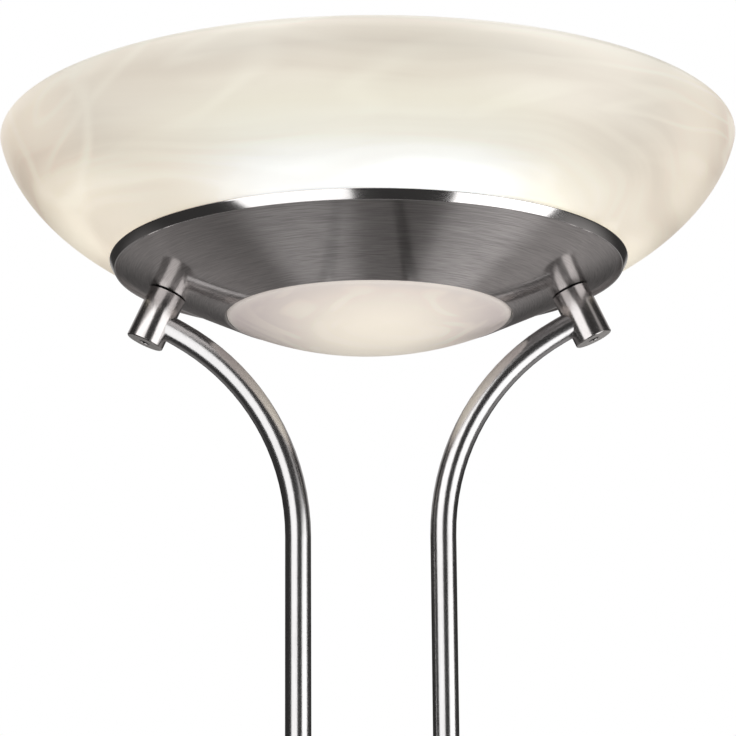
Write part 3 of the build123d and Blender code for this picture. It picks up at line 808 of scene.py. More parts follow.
@dataclass(frozen=True)
class Dimpled(Finish):
    """Bright aluminium sheet with a hammered face that spreads the light."""

    tint: Colour = shown(0.90, 0.90, 0.905)
    cell: float = 420.0

    def shade(self, graph: Graph) -> Value:
        """Rounded dimples side by side.

        Args:
            graph: The material's nodes.

        Returns:
            The shader.
        """
        place = graph.position()
        cells = {"Vector": place, "Scale": self.cell, "Randomness": 0.55, "Smoothness": 0.4}
        dimples = graph.add("ShaderNodeTexVoronoi", cells, feature="SMOOTH_F1")
        fine = graph.noise(place, 900.0)
        return graph.surface(
            Base_Color=graph.mix(self.tint, scaled(self.tint, 0.9), fine),
            Metallic=1.0,
            Roughness=0.16 + fine * 0.08,
            Normal=graph.bump(dimples.output("Distance"), 0.5 * MM),
        )


@dataclass(frozen=True)
class Fibre(Finish):
    """Pressed black fibre board."""

    tint: Colour = grey(0.13)
    across: float = 1500.0
    along: float = 380.0
    up: float = 900.0

    def shade(self, graph: Graph) -> Value:
        """Matted fibres in the plane of the board.

        Args:
            graph: The material's nodes.

        Returns:
            The shader.
        """
        mat = graph.most(
            *(
                graph.noise(graph.stretched((*ways, self.up)), 1.0, 4.0, 0.6)
                for ways in ((self.across, self.along), (self.along, self.across))
            )
        )
        proud = graph.step(mat, 0.5, 0.8)
        return graph.surface(
            Base_Color=graph.mix(self.tint, scaled(self.tint, 2.1), proud),
            Roughness=0.82 - mat * 0.12,
            Normal=graph.bump(mat, 0.1 * MM),
        )


# ---------------------------------------------------------------- meshes
Corners = Sequence[Sequence[float]]


def points(items: Sequence) -> list[bmesh.types.BMVert]:
    """The vertices among some vertices, edges and faces."""
    return [item for item in items if isinstance(item, bmesh.types.BMVert)]


def curve(start: Vector, start_pull: Vector, end_pull: Vector, end: Vector, count: int) -> Corners:
    """Radius and height of points on a curve that the two pulls bend."""
    return [(p.x, p.z) for p in interpolate_bezier(start, start_pull, end_pull, end, count)]


class Workpiece:
    """A mesh shaped with bmesh operators and then handed over as a piece of the lamp."""

    def __init__(self) -> None:
        """Starts empty."""
        self.mesh = bmesh.new()

    def bevel(self, geometry: Sequence, offset: float, affect: str, segments: int) -> None:
        """Rounds corners or edges.

        Args:
            geometry: The vertices or edges.
            offset: How far from them the rounding starts.
            affect: VERTICES or EDGES.
            segments: How many steps the rounding gets.
        """
        bmesh.ops.bevel(
            self.mesh, geom=geometry, offset=offset, offset_type="OFFSET",
            affect=affect, segments=segments, profile=0.5, material=-1,
        )

    def spin(self, steps: int, angle: float, climb: float, use_merge: bool) -> None:
        """Spins everything made so far about Z.

        Args:
            steps: How many steps the spin gets.
            angle: The whole angle.
            climb: How far each step climbs.
            use_merge: Whether the last step joins the first.
        """
        bmesh.ops.spin(
            self.mesh, geom=self.mesh.verts[:] + self.mesh.edges[:], cent=(0, 0, 0), axis=UP,
            dvec=(0, 0, climb), angle=angle, steps=steps, use_merge=use_merge,
        )

    def turn(self, corners: Corners, around: int, rounding: int = 5, closed: bool = True) -> None:
        """Draws an outline in the XZ plane, rounds its corners and turns it once about Z.

        Args:
            corners: Radius and height of each corner, and its rounding where it has one.
            around: How many steps the turn gets.
            rounding: How many steps a rounding gets.
            closed: Whether the last corner joins the first.
        """
        verts = [self.mesh.verts.new((corner[0], 0, corner[1])) for corner in corners]
        for pair in zip(verts, verts[1:] + verts[:1] if closed else verts[1:]):
            self.mesh.edges.new(pair)
        for vert, corner in zip(verts, corners):
            if len(corner) > 2:
                one, two = (edge.other_vert(vert).co - vert.co for edge in vert.link_edges)
                half_turn = (math.pi - one.angle(two)) / 2
                self.bevel([vert], corner[2] * math.tan(half_turn), "VERTICES", rounding)
        self.spin(around, TURN, 0.0, use_merge=True)
        bmesh.ops.remove_doubles(self.mesh, verts=self.mesh.verts, dist=SAME_POINT)

    def place(self, matrix: Matrix) -> None:
        """Moves everything made so far."""
        bmesh.ops.transform(self.mesh, matrix=matrix, verts=self.mesh.verts)

    def repeat(self, matrices: Sequence[Matrix]) -> None:
        """Adds moved copies of everything made so far.

        Args:
            matrices: The way from the first to each copy.
        """
        first = self.mesh.verts[:] + self.mesh.edges[:] + self.mesh.faces[:]
        for matrix in matrices:
            copied = bmesh.ops.duplicate(self.mesh, geom=first)["geom"]
            bmesh.ops.transform(self.mesh, matrix=matrix, verts=points(copied))

    def faces_at(self, height: float) -> list[bmesh.types.BMFace]:
        """Faces whose middle is at a height."""
        faces = self.mesh.faces
        return [f for f in faces if abs(f.calc_center_median().z - height) < SAME_HEIGHT]

    def number_faces(self, choose: Callable[[Vector], int]) -> None:
        """Gives each face the material number that is chosen by its middle."""
        for face in self.mesh.faces:
            face.material_index = choose(face.calc_center_median())

    def make(self, name: str, finishes: Sequence[Finish]) -> bpy.types.Object:
        """Makes an object of the mesh.

        Args:
            name: The object's name.
            finishes: Its finishes, in the order of its faces' material numbers.

        Returns:
            The object.
        """
        data = bpy.data.meshes.new(name)
        self.mesh.to_mesh(data)
        self.mesh.free()
        for finish in finishes:
            data.materials.append(finish.material())
        made = bpy.data.objects.new(name, data)
        bpy.context.scene.collection.objects.link(made)
        return made

    def hand_over(
        self,
        name: str,
        body: Body,
        finishes: Sequence[Finish],
        slot: Slot,
        replaces: Sequence[str] = (),
        crease: float = 32.0,
    ) -> None:
        """Makes the finished piece.

        Args:
            name: The piece's name.
            body: The body that it rides on.
            finishes: Its finishes, in the order of its faces' material numbers.
            slot: The record's slot; not used.
            replaces: The nodes that it stands for.
            crease: Edges sharper than this many degrees stay sharp.
        """
        bmesh.ops.recalc_face_normals(self.mesh, faces=self.mesh.faces)
        for face in self.mesh.faces:
            face.smooth = True
        sharp = math.radians(crease)
        for edge in self.mesh.edges:
            edge.smooth = len(edge.link_faces) == 2 and edge.calc_face_angle(0.0) < sharp
        piece = self.make(name, finishes)
        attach(piece, body.value)
        if replaces:
            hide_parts(*replaces)
        LOG.info("%s: %d faces", name, len(piece.data.polygons))


Dressing = tuple[tuple[Union[Finish, str], ...], ...]


class Assembly:
    """A part of the lamp, which builds its own pieces and dresses nodes of the frame.

    Each row of dressed is a finish and the nodes that get it.
    """

    dressed: Dressing = ()

    def build(self) -> None:
        """Builds the pieces, where there are any."""

    def dress(self, nodes: Mapping[str, bpy.types.Object]) -> None:
        """Gives nodes of the frame their finishes.

        Args:
            nodes: The frame's nodes by name.
        """
        for finish, *names in self.dressed:
            for name in names:
                for slot in nodes[name].material_slots:
                    slot.material = finish.material()
                LOG.info("%s: %s", name, finish.name)


# ---------------------------------------------------------------- head
@dataclass(frozen=True)
class PanCone:
    """The cone that the pan's outer face follows."""

    slope: float = math.radians(24.6)
    hole_radius: float = 78.5 * MM
    hole_height: float = 1701.4 * MM

    def height(self, radius: float, above: float = 0.0) -> float:
        """Height of the cone, or of a cone that lies a distance above it, at a radius."""
        rise = (radius - self.hole_radius) * math.tan(self.slope)
        return self.hole_height + rise + above / math.cos(self.slope)


@dataclass
class GlassBowl(Assembly):
    """Shallow bowl that rests on the pan's gasket."""

    cone: PanCone = PanCone()
    rim_radius: float = 203 * MM
    rim_height: float = 1.8
    rim_lean: float = math.radians(76)
    rim_pull: float = 27.5 * MM
    foot_radius: float = 136 * MM
    foot_pull: float = 36 * MM
    heel_radius: float = 134 * MM
    heel_pull: float = 33 * MM
    mouth_radius: float = 120 * MM
    wall: float = 5 * MM
    seat: float = 3.0 * MM
    finish: Finish = Alabaster("alabaster_painted_glow")

    def outline(self) -> Corners:
        """Draws the wall.

        Returns:
            Its corners: foot, outside, rim, inside and mouth.
        """
        along, up = (
            Vector((math.cos(lean), 0, math.sin(lean))) for lean in (self.cone.slope, self.rim_lean)
        )
        height, inside = self.cone.height, self.seat + self.wall
        foot = Vector((self.foot_radius, 0, height(self.foot_radius, self.seat)))
        heel = Vector((self.heel_radius, 0, height(self.heel_radius, inside)))
        lip, inner_radius = self.wall / 2, self.rim_radius - self.wall
        outer, inner = (
            Vector((radius, 0, self.rim_height - lip)) for radius in (self.rim_radius, inner_radius)
        )
        mouth = height(self.mouth_radius, self.seat)
        rise = self.wall / math.cos(self.cone.slope)
        edge, pull = self.mouth_radius - rise / 2, up * self.rim_pull
        return [
            (edge, mouth, rise / 2),
            *curve(foot, foot + along * self.foot_pull, outer - pull, outer, 40),
            (self.rim_radius, self.rim_height, lip * 0.99),
            (inner_radius, self.rim_height, lip * 0.99),
            *curve(inner, inner - pull, heel + along * self.heel_pull, heel, 32),
            (edge, mouth + rise, rise / 2),
        ]

    def build(self) -> None:
        """Turns the wall."""
        work = Workpiece()
        work.turn(self.outline(), around=224, rounding=8)
        nodes = ["glass_bowl"]
        work.hand_over("alabaster_bowl", Body.BOWL, [self.finish], Slot.ALABASTER, nodes, 60)


@dataclass
class ReadingLight(Assembly):
    """Frosted dome of the reading light, with the neck that its springs grip."""

    radius: float = 78.1 * MM
    edge_height: float = 1701.6 * MM
    drop: float = 16.6 * MM
    neck: float = 12 * MM
    wall: float = 4 * MM
    shoulder: float = 3.4 * MM
    shoulder_start: float = 2.6 * MM
    lip: float = 0.8 * MM
    rings: int = 20
    finish: Finish = FrostedGlass("frosted_glass_painted_glow")

    def dome(self, sphere: float, bottom: float, reach: float) -> Corners:
        """Draws a dome from the axis outwards.

        Args:
            sphere: Radius of its sphere.
            bottom: Height of its lowest point.
            reach: Radius that it ends at.

        Returns:
            Radius and height of its points.
        """
        angles = (math.asin(reach / sphere) * i / self.rings for i in range(self.rings + 1))
        return [(sphere * math.sin(a), bottom + sphere * (1 - math.cos(a))) for a in angles]

    def build(self) -> None:
        """Turns the lens."""
        sphere = (self.radius**2 + self.drop**2) / (2 * self.drop)
        bottom = self.edge_height - self.drop
        neck_top, inside = self.edge_height + self.neck, self.radius - self.wall
        corners = [
            *self.dome(sphere, bottom, self.radius - self.shoulder_start),
            (self.radius, self.edge_height, self.shoulder),
            (self.radius, neck_top, self.lip),
            (inside, neck_top, self.lip),
            *reversed(self.dome(sphere - self.wall, bottom + self.wall, inside)),
        ]
        work = Workpiece()
        work.turn(corners, around=160, rounding=8, closed=False)
        work.hand_over("frosted_lens", Body.LENS, [self.finish], Slot.FROSTED, ["lens"], 60)


@dataclass
class Pan(Assembly):
    """Spun dish with a brushed cone and a polished folded rim."""

    cone: PanCone = PanCone()
    sheet: float = 1.5 * MM
    cone_radius: float = 138.9 * MM
    hem_foot: float = 139.8 * MM
    hem_radius: float = 143.0 * MM
    hem_low: float = 1727.0 * MM
    hem_top: float = 1732.5 * MM
    hem_in: float = 140.0 * MM
    hole_round: float = 0.9 * MM
    hem_round: float = 0.3 * MM
    rim_round: float = 0.8 * MM
    collar: float = 5.6 * MM
    brushed: Finish = SpunMetal("pan_brushed_nickel")
    polished: Finish = SatinPlate(
        "pan_polished_rim", tint=shown(0.87, 0.86, 0.855), rough=0.125, wear=0.02, depth=0.0
    )
    inside: Finish = PlatedSteel("pan_inside_plate")

    def finish_number(self, middle: Vector) -> int:
        """Tells cone, rim and inside apart.

        Args:
            middle: The middle of a face.

        Returns:
            The face's material number.
        """
        radius = middle.xy.length
        if radius > self.cone_radius - 0.05 * MM:
            return 1
        return 2 if middle.z > self.cone.height(radius, self.sheet / 2) else 0

    def build(self) -> None:
        """Turns the dish."""
        hole, height = self.cone.hole_radius, self.cone.height
        collar, collar_top = hole + self.sheet, self.cone.hole_height + self.collar
        corners = [
            (hole, self.cone.hole_height, self.hole_round),
            (self.cone_radius, height(self.cone_radius)),
            (self.cone_radius, self.hem_low, self.hem_round),
            (self.hem_foot, self.hem_low, self.hem_round),
            (self.hem_radius, self.hem_top, self.rim_round),
            (self.hem_in, self.hem_top, self.hem_round),
            (self.hem_in, height(self.hem_in, self.sheet)),
            (collar, height(collar, self.sheet)),
            (collar, collar_top),
            (hole, collar_top),
        ]
        work = Workpiece()
        work.turn(corners, around=256, rounding=6)
        work.number_faces(self.finish_number)
        finishes = [self.brushed, self.polished, self.inside]
        work.hand_over("spun_pan", Body.LAMP, finishes, Slot.NICKEL, ["pan"], 28)


@dataclass
class Posts(Assembly):
    """Turned posts square to the pan, with an undercut at the pan that carries painted shade, and a
    faced end.
    """

    cone: PanCone = PanCone()
    at: float = 110.7 * MM
    radius: float = 10.5 * MM
    length: float = 30.3 * MM
    chamfer: float = 0.5 * MM
    groove: float = 0.42 * MM
    undercut: float = 1.1 * MM
    sink: float = 0.12 * MM
    bore: float = 5.05 * MM
    bore_depth: float = 18 * MM
    bore_cone: float = 1 * MM
    screw_bore: float = 3.05 * MM
    finish: Finish = SatinPlate("post_satin_nickel", rough=0.20, along=(90.0, 2400.0, 900.0))
    # The undercut's dark steel is painted shade, for the shadow line where the post meets the pan.
    painted_shade_finish: Finish = dark_steel("undercut_painted_shade", 0.16, 0.10, rough=0.6)
    faced: Finish = SatinPlate(
        "faced_post_end", tint=shown(0.93, 0.92, 0.91), rough=0.48, along=(900.0, 900.0, 900.0)
    )
    dressed: Dressing = ((dark_steel("dark_set_screw", 0.42, 0.30, rough=0.38), "post_screws"),)

    def frame(self, sign: int) -> Matrix:
        """Finds the place of a post.

        Args:
            sign: -1 on the left and 1 on the right.

        Returns:
            A frame whose Z axis runs down the post from the pan's face.
        """
        slope = self.cone.slope
        down = Vector((sign * math.sin(slope), 0, -math.cos(slope)))
        inwards = Vector((-sign * math.cos(slope), 0, -math.sin(slope)))
        turned = Matrix((inwards, down.cross(inwards), down)).transposed().to_4x4()
        return Matrix.Translation((sign * self.at, 0, self.cone.height(self.at))) @ turned

    def finish_number(self, middle: Vector) -> int:
        """Tells side, undercut with its painted shade, and end face apart.

        Args:
            middle: The middle of a face.

        Returns:
            The face's material number.
        """
        if middle.z < self.groove + 0.01 * MM and middle.xy.length < self.radius - 0.3 * MM:
            return 1
        return 2 if middle.z > self.length - 0.02 * MM else 0

    def build(self) -> None:
        """Turns both posts."""
        radius, length, chamfer = self.radius, self.length, self.chamfer
        corners = [
            (self.bore, -self.sink),
            (radius - self.undercut, -self.sink),
            (radius - self.undercut, self.groove),
            (radius, self.groove, 0.1 * MM),
            (radius, length - chamfer, 0.15 * MM),
            (radius - chamfer, length, 0.15 * MM),
            (self.screw_bore, length, 0.1 * MM),
            (self.screw_bore, self.bore_depth),
            (self.bore, self.bore_depth - self.bore_cone),
        ]
        finishes = [self.finish, self.painted_shade_finish, self.faced]
        for side, sign in SIDES:
            work = Workpiece()
            work.turn(corners, around=96, rounding=3)
            work.number_faces(self.finish_number)
            work.place(self.frame(sign))
            nodes = [f"post_{side}"]
            work.hand_over(f"turned_post_{side}", Body.LAMP, finishes, Slot.TUBE, nodes, 28)


@dataclass(frozen=True)
class LinearLamp:
    """Double-ended lamp: quartz tube, coiled filament, pinched ends and ceramic caps."""

    name: str
    node: str
    height: float
    half_length: float
    tube_radius: float
    tube_half: float
    cap_radius: float
    cap_length: float = 9 * MM
    tube_wall: float = 0.8 * MM
    neck_wall: float = 0.6 * MM
    coil_radius: float = 0.9 * MM
    coil_inset: float = 6 * MM
    coil_steps: int = 10
    wire: float = 0.16 * MM
    pitch: float = 1.1 * MM
    pinch: float = 2.4 * MM
    quartz: Finish = Quartz("fused_quartz")
    glow: Finish = Glowing("hot_filament")
    ceramic: Finish = Steatite("lamp_cap_ceramic")

    def hand_over(
        self,
        work: Workpiece,
        part: str,
        finish: Finish,
        replaces: Sequence[str] = (),
        crease: float = 32.0,
    ) -> None:
        """Lays a part that was made about Z along X, at the lamp's height, and hands it over.

        Args:
            work: The part.
            part: What the part is called.
            finish: Its finish.
            replaces: The nodes that it stands for.
            crease: Edges sharper than this many degrees stay sharp.
        """
        lying = Matrix.Rotation(math.radians(90), 4, "Y")
        work.place(Matrix.Translation((0, 0, self.height)) @ lying)
        name = f"{self.name}_{part}"
        work.hand_over(name, Body.LAMP, [finish], Slot.QUARTZ, replaces, crease)

    def build_tube(self) -> None:
        """Turns the hollow quartz tube, whose ends are drawn in to a neck."""
        radius, half, neck = self.tube_radius, self.tube_half, self.tube_radius * 0.32
        neck_inside, inside = neck - self.neck_wall, radius - self.tube_wall
        upper = [
            (radius, half - 2.5 * MM, radius * 0.5),
            (neck, half - 0.5 * MM, 0.6 * MM),
            (neck, half + 1.5 * MM, 0.3 * MM),
            (neck_inside, half + 1.5 * MM),
            (neck_inside, half),
            (inside, half - 3.2 * MM, radius * 0.4),
        ]
        lower = [(x, -z, *rounding) for x, z, *rounding in reversed(upper)]
        work = Workpiece()
        work.turn(upper + lower, around=48, rounding=6)
        self.hand_over(work, "envelope", self.quartz, [self.node], 40)

    def build_filament(self) -> None:
        """Winds the coil with a screw-shaped spin and adds its straight ends."""
        work = Workpiece()
        reach = self.tube_half - self.coil_inset
        turns = round(2 * reach / self.pitch)
        steps = self.coil_steps * turns
        upright = Matrix.Rotation(math.radians(90), 4, "X")
        start = Matrix.Translation((self.coil_radius, 0, -reach)) @ upright
        bmesh.ops.create_circle(
            work.mesh, cap_ends=False, radius=self.wire, segments=6, matrix=start
        )
        work.spin(steps, TURN * turns, 2 * reach / steps, use_merge=False)
        bmesh.ops.holes_fill(work.mesh, edges=work.mesh.edges, sides=8)
        inner, outer = reach - 0.3 * MM, self.tube_half + 1 * MM
        for way in (-1, 1):
            middle = (self.coil_radius * 0.8, 0, way * (inner + outer) / 2)
            bmesh.ops.create_cone(
                work.mesh, cap_ends=True, segments=10, radius1=self.wire * 1.6,
                radius2=self.wire * 1.6, depth=outer - inner, matrix=Matrix.Translation(middle),
            )
        self.hand_over(work, "filament", self.glow)

    def build_caps(self) -> None:
        """Turns a cap with a waist and a sunk contact, presses the pinch and mirrors both."""
        far, radius = self.half_length, self.cap_radius
        near, contact = far - self.cap_length, far - 0.8 * MM
        corners = [
            (0, near),
            (radius * 0.92, near, 0.5 * MM),
            (radius, near + 2 * MM, 0.4 * MM),
            (radius, far - 3 * MM, 0.5 * MM),
            (radius * 0.8, far - 2 * MM, 0.4 * MM),
            (radius * 0.8, far, 0.5 * MM),
            (radius * 0.45, far, 0.3 * MM),
            (radius * 0.45, contact),
            (0, contact),
        ]
        work = Workpiece()
        work.turn(corners, around=40, rounding=4, closed=False)
        low, high = self.tube_half - 1 * MM, near + 0.5 * MM
        size = Matrix.Diagonal((self.pinch, self.tube_radius * 1.1, high - low, 1))
        middle = Matrix.Translation((0, 0, (low + high) / 2))
        block = bmesh.ops.create_cube(work.mesh, size=1.0, matrix=middle @ size)["verts"]
        edges = {edge for vert in block for edge in vert.link_edges}
        work.bevel(list(edges), 0.5 * MM, "EDGES", 3)
        work.repeat([Matrix.Scale(-1, 4, UP)])
        self.hand_over(work, "caps", self.ceramic)

    def build(self) -> None:
        """Builds the lamp."""
        for build_part in (self.build_tube, self.build_filament, self.build_caps):
            build_part()


@dataclass(frozen=True)
class CrossScrews:
    """Screws on a circle with a cross recess in each head, whose height may point down."""

    name: str
    node: str
    circle: float
    start: float
    seat: float
    head: float
    head_radius: float
    shank_radius: float
    shank_end: float
    rounding: float
    count: int = 3
    recess_turn: float = 0.4
    recess_half: float = 0.45 * MM
    recess_reach: float = 1.9 * MM
    recess_depth: float = 1.1 * MM
    disc: float = 2.09 * MM
    finish: Finish = PlatedSteel("zinc_screw", scale=420.0, rough=0.26)

    def sink_recess(self, work: Workpiece) -> None:
        """Cuts a cross out of the flat of the head and sinks it.

        Args:
            work: A screw that was turned about Z.
        """
        top, disc = self.seat + self.head, self.disc + 0.01 * MM
        flat = [f for f in work.faces_at(top) if all(v.co.xy.length < disc for v in f.verts)]
        bmesh.ops.dissolve_faces(work.mesh, faces=flat)
        for normal in (Vector((1, 0, 0)), Vector((0, 1, 0))):
            for cut in (-self.recess_reach, -self.recess_half, self.recess_half, self.recess_reach):
                cells = {item for f in work.faces_at(top) for item in (f, *f.edges, *f.verts)}
                bmesh.ops.bisect_plane(
                    work.mesh, geom=list(cells), dist=SAME_POINT,
                    plane_co=normal * cut, plane_no=normal,
                )
        cross = []
        for face in work.faces_at(top):
            narrow, long = sorted(abs(way) for way in face.calc_center_median().xy)
            if narrow < self.recess_half and long < self.recess_reach:
                cross.append(face)
        sunk = bmesh.ops.extrude_face_region(work.mesh, geom=cross)["geom"]
        bmesh.ops.delete(work.mesh, geom=cross, context="FACES")
        depth = math.copysign(self.recess_depth, self.head)
        bmesh.ops.translate(work.mesh, verts=points(sunk), vec=(0, 0, -depth))

    def build(self) -> None:
        """Turns a screw, cuts its recess and sets copies of it round the circle."""
        top = self.seat + self.head
        corners = [
            (0, self.shank_end),
            (self.shank_radius, self.shank_end, 0.3 * MM),
            (self.shank_radius, self.seat),
            (self.head_radius, self.seat, 0.15 * MM),
            (self.head_radius, top, self.rounding),
            (self.disc, top),
            (0, top),
        ]
        work = Workpiece()
        work.turn(corners, around=48, rounding=6, closed=False)
        self.sink_recess(work)
        turned = Matrix.Rotation(self.recess_turn, 4, "Z")
        work.place(Matrix.Translation((self.circle, 0, 0)) @ turned)
        apart = TURN / self.count
        work.repeat([Matrix.Rotation(apart * i, 4, "Z") for i in range(1, self.count)])
        work.place(Matrix.Rotation(math.radians(self.start), 4, "Z"))
        work.hand_over(self.name, Body.LAMP, [self.finish], Slot.ZINC, [self.node], 40)


@dataclass
class HeadFittings(Assembly):
    """Deck, bracket, holders, lamps, guard and the small parts inside the pan."""

    parts: tuple[Union[LinearLamp, CrossScrews], ...] = (
        LinearLamp(
            "upper_lamp", "uplight_lamp", height=1.754, half_length=59.1 * MM,
            tube_radius=6.0 * MM, tube_half=42 * MM, cap_radius=4.6 * MM,
        ),
        LinearLamp(
            "short_lamp", "reading_lamp", height=1.713, half_length=39.0 * MM,
            tube_radius=5.5 * MM, tube_half=24 * MM, cap_radius=4.1 * MM,
        ),
        CrossScrews(
            "deck_cross_screws", "deck_screws", circle=100 * MM, start=90, seat=1.733,
            head=2.2 * MM, head_radius=3.6 * MM, shank_radius=1.95 * MM, shank_end=1.726,
            rounding=1.4 * MM,
        ),
    )
    sheet: Finish = SpunMetal(
        "spun_aluminium", tint=shown(0.86, 0.86, 0.865), wide_share=0.6, ring_pitch=0.8 * MM
    )
    small: Finish = PlatedSteel("small_zinc_plate", scale=420.0, rough=0.27)
    spring: Finish = PlatedSteel(
        "spring_steel", tint=shown(0.66, 0.66, 0.68), stain=shown(0.50, 0.50, 0.54), rough=0.24
    )
    wire: Finish = SatinPlate(
        "guard_wire_nickel", tint=shown(0.85, 0.85, 0.86), rough=0.12, along=(900.0, 900.0, 900.0)
    )
    dressed: Dressing = (
        (sheet, "deck", "reading_reflector"),
        (Dimpled("hammered_aluminium"), "uplight_reflector"),
        (PlatedSteel("pressed_zinc_plate"), "uplight_bracket", "guard_lugs", "guard_catches"),
        (small, "deck_standoffs", "saddle_washers", "post_nuts"),
        (Threaded("post_thread", axis=(-0.4163, 0.0, -0.9092)), "post_nipples"),
        (spring, "lens_springs"),
        (wire, "wire_guard"),
        (Steatite("steatite"), "uplight_lampholders", "reading_lampholders", "head_terminals"),
        (Moulded("silicone_gasket", tint=shown(0.82, 0.81, 0.79), rough=0.5), "bowl_gasket"),
        (Moulded("grey_bushing", tint=shown(0.40, 0.40, 0.41), rough=0.55), "lead_bushings"),
        (Braid("woven_sleeve"), "uplight_leads"),
    )

    def build(self) -> None:
        """Builds lamps and screws."""
        for part in self.parts:
            part.build()


@dataclass
class Stem(Assembly):
    """Twin tubes with their dimmer housings, knobs, couplers and bridges."""

    tube: Finish = SatinPlate("tube_satin_nickel", tint=shown(0.79, 0.785, 0.785), rough=0.215)
    turned: Finish = SatinPlate("turned_satin_nickel", rough=0.17, along=ALONG_Z)
    knob: Finish = SatinPlate(
        "knob_satin_nickel", tint=shown(0.84, 0.83, 0.82), rough=0.14, along=(600.0, 600.0, 600.0)
    )
    shaft: Finish = SatinPlate("turned_brass", tint=BRASS, rough=0.2, along=(700.0, 700.0, 700.0))
    dressed: Dressing = (
        (tube, "tube_upper_left", "tube_middle_left", "tube_lower_left"),
        (tube, "tube_upper_right", "tube_middle_right", "tube_lower_right"),
        (turned, "housing_left", "housing_right", "housing_caps", "couplers", "bridges"),
        (knob, "knob_left", "knob_right"),
        (shaft, "dimmer_shaft_left", "dimmer_shaft_right"),
        (dark_steel("dark_grub_screw", 0.45, 0.32, rough=0.36), "bridge_screws"),
        (PlatedSteel("dimmer_nut_plate", scale=420.0, rough=0.27), "dimmer_nuts"),
        (Moulded("black_resin", tint=grey(0.13), rough=0.45), "dimmers"),
        (Braid("lead_sleeve"), "upper_leads", "lower_leads"),
    )


@dataclass
class Base(Assembly):
    """Spun cover over a cast weight, on a soft ring."""

    screws: CrossScrews = CrossScrews(
        "bottom_cross_screws", "bottom_screws", circle=68 * MM, start=30, seat=2.8 * MM,
        head=-1.8 * MM, head_radius=3.4 * MM, shank_radius=1.8 * MM, shank_end=4.0 * MM,
        rounding=0.9 * MM,
    )
    cover: Finish = SpunMetal(
        "base_brushed_nickel", tint=shown(0.80, 0.785, 0.78), ring_pitch=0.6 * MM
    )
    foam: Finish = Moulded(
        "foam_ring", tint=grey(0.15), rough=0.9, grain=900.0, depth=0.25 * MM
    )
    ferrule: Finish = SatinPlate(
        "ferrule_brass", tint=BRASS, rough=0.22, along=(200.0, 200.0, 2000.0)
    )
    dressed: Dressing = (
        (cover, "base_cover"),
        (SatinPlate("collar_satin_nickel", rough=0.17, along=ALONG_Z), "base_collars"),
        (Casting("enamelled_iron"), "base_weight"),
        (foam, "foot_ring"),
        (Moulded("black_rubber", tint=grey(0.12), rough=0.6), "mains_bushing"),
        (Fibre("pressed_fibre"), "bottom_plate"),
        (PlatedSteel("base_zinc_plate", scale=300.0), "base_washers", "base_nuts"),
        (Threaded("stem_thread"), "stem_nipples"),
        (ferrule, "tube_ferrules"),
        (Steatite("base_steatite"), "mains_terminal"),
    )

    def build(self) -> None:
        """Builds the screws."""
        self.screws.build()


# ---------------------------------------------------------------- studio
@dataclass(frozen=True)
class Panel:
    """A lit panel, whose level is the brightness of its face."""

    name: str
    width: float
    height: float
    level: float
    at: tuple[float, float, float]
    azimuth: float = 0.0
    tilt: float = 0.0
    lean: float = 0.0

    def build(self) -> None:
        """Adds the panel, which faces down until it is tilted."""
        light = bpy.data.lights.new(self.name, "AREA")
        light.shape, light.size, light.size_y = "RECTANGLE", self.width, self.height
        light.energy = self.level * math.pi * self.width * self.height
        panel = bpy.data.objects.new(self.name, light)
        facing = Matrix.Identity(3)
        for angle, axis in ((self.azimuth, "Z"), (self.tilt, "X"), (self.lean, "Z")):
            facing = facing @ Matrix.Rotation(math.radians(angle), 3, axis)
        panel.location, panel.rotation_euler = self.at, facing.to_euler()
        panel.visible_camera = False
        bpy.context.scene.collection.objects.link(panel)


def softbox(
    name: str, azimuth: float, width: float, high: float, level: float, lean: float = 0.0
) -> Panel:
    """Stands a tall panel beside the camera.

    Args:
        name: The panel's name.
        azimuth: Its direction from the lamp, in degrees from the front.
        width: Its width.
        high: Height of its upper edge.
        level: Brightness of its face.
        lean: How far it leans to one side, in degrees.

    Returns:
        The panel.
    """
    distance, low, turned = 1.45, 0.05, math.radians(azimuth)
    at = (math.sin(turned) * distance, -math.cos(turned) * distance, (low + high) / 2)
    return Panel(name, width, high - low, level, at, azimuth, 90.0, lean)


@dataclass(frozen=True)
class PaleFloor(Finish):
    """Pale floor that fades into the white background and shows nothing from below."""

    tint: Colour = grey(0.95)
    mottled: Colour = grey(0.93)
    near: float = 0.5
    far: float = 1.3
    lift: float = 0.68

    def shade(self, graph: Graph) -> Value:
        """Diffuse near the lamp, white light far from it, clear from below.

        Args:
            graph: The material's nodes.

        Returns:
            The shader.
        """
        x, y, _ = graph.coordinates()
        away = graph.step(graph.length(x, y), self.near, self.far)
        tint = graph.mix(self.tint, self.mottled, graph.noise(graph.position(), 3.0))
        paint = graph.add("ShaderNodeBsdfDiffuse", {"Color": tint})
        white = graph.add("ShaderNodeEmission", {"Color": grey(1.0), "Strength": 1.0})
        share = (away * (1 - self.lift) + self.lift) * graph.seen_by("Camera", "Glossy")
        clear = graph.add("ShaderNodeBsdfTransparent")
        back = graph.add("ShaderNodeNewGeometry").output("Backfacing")
        return graph.blend(graph.blend(paint, white, share), clear, back)


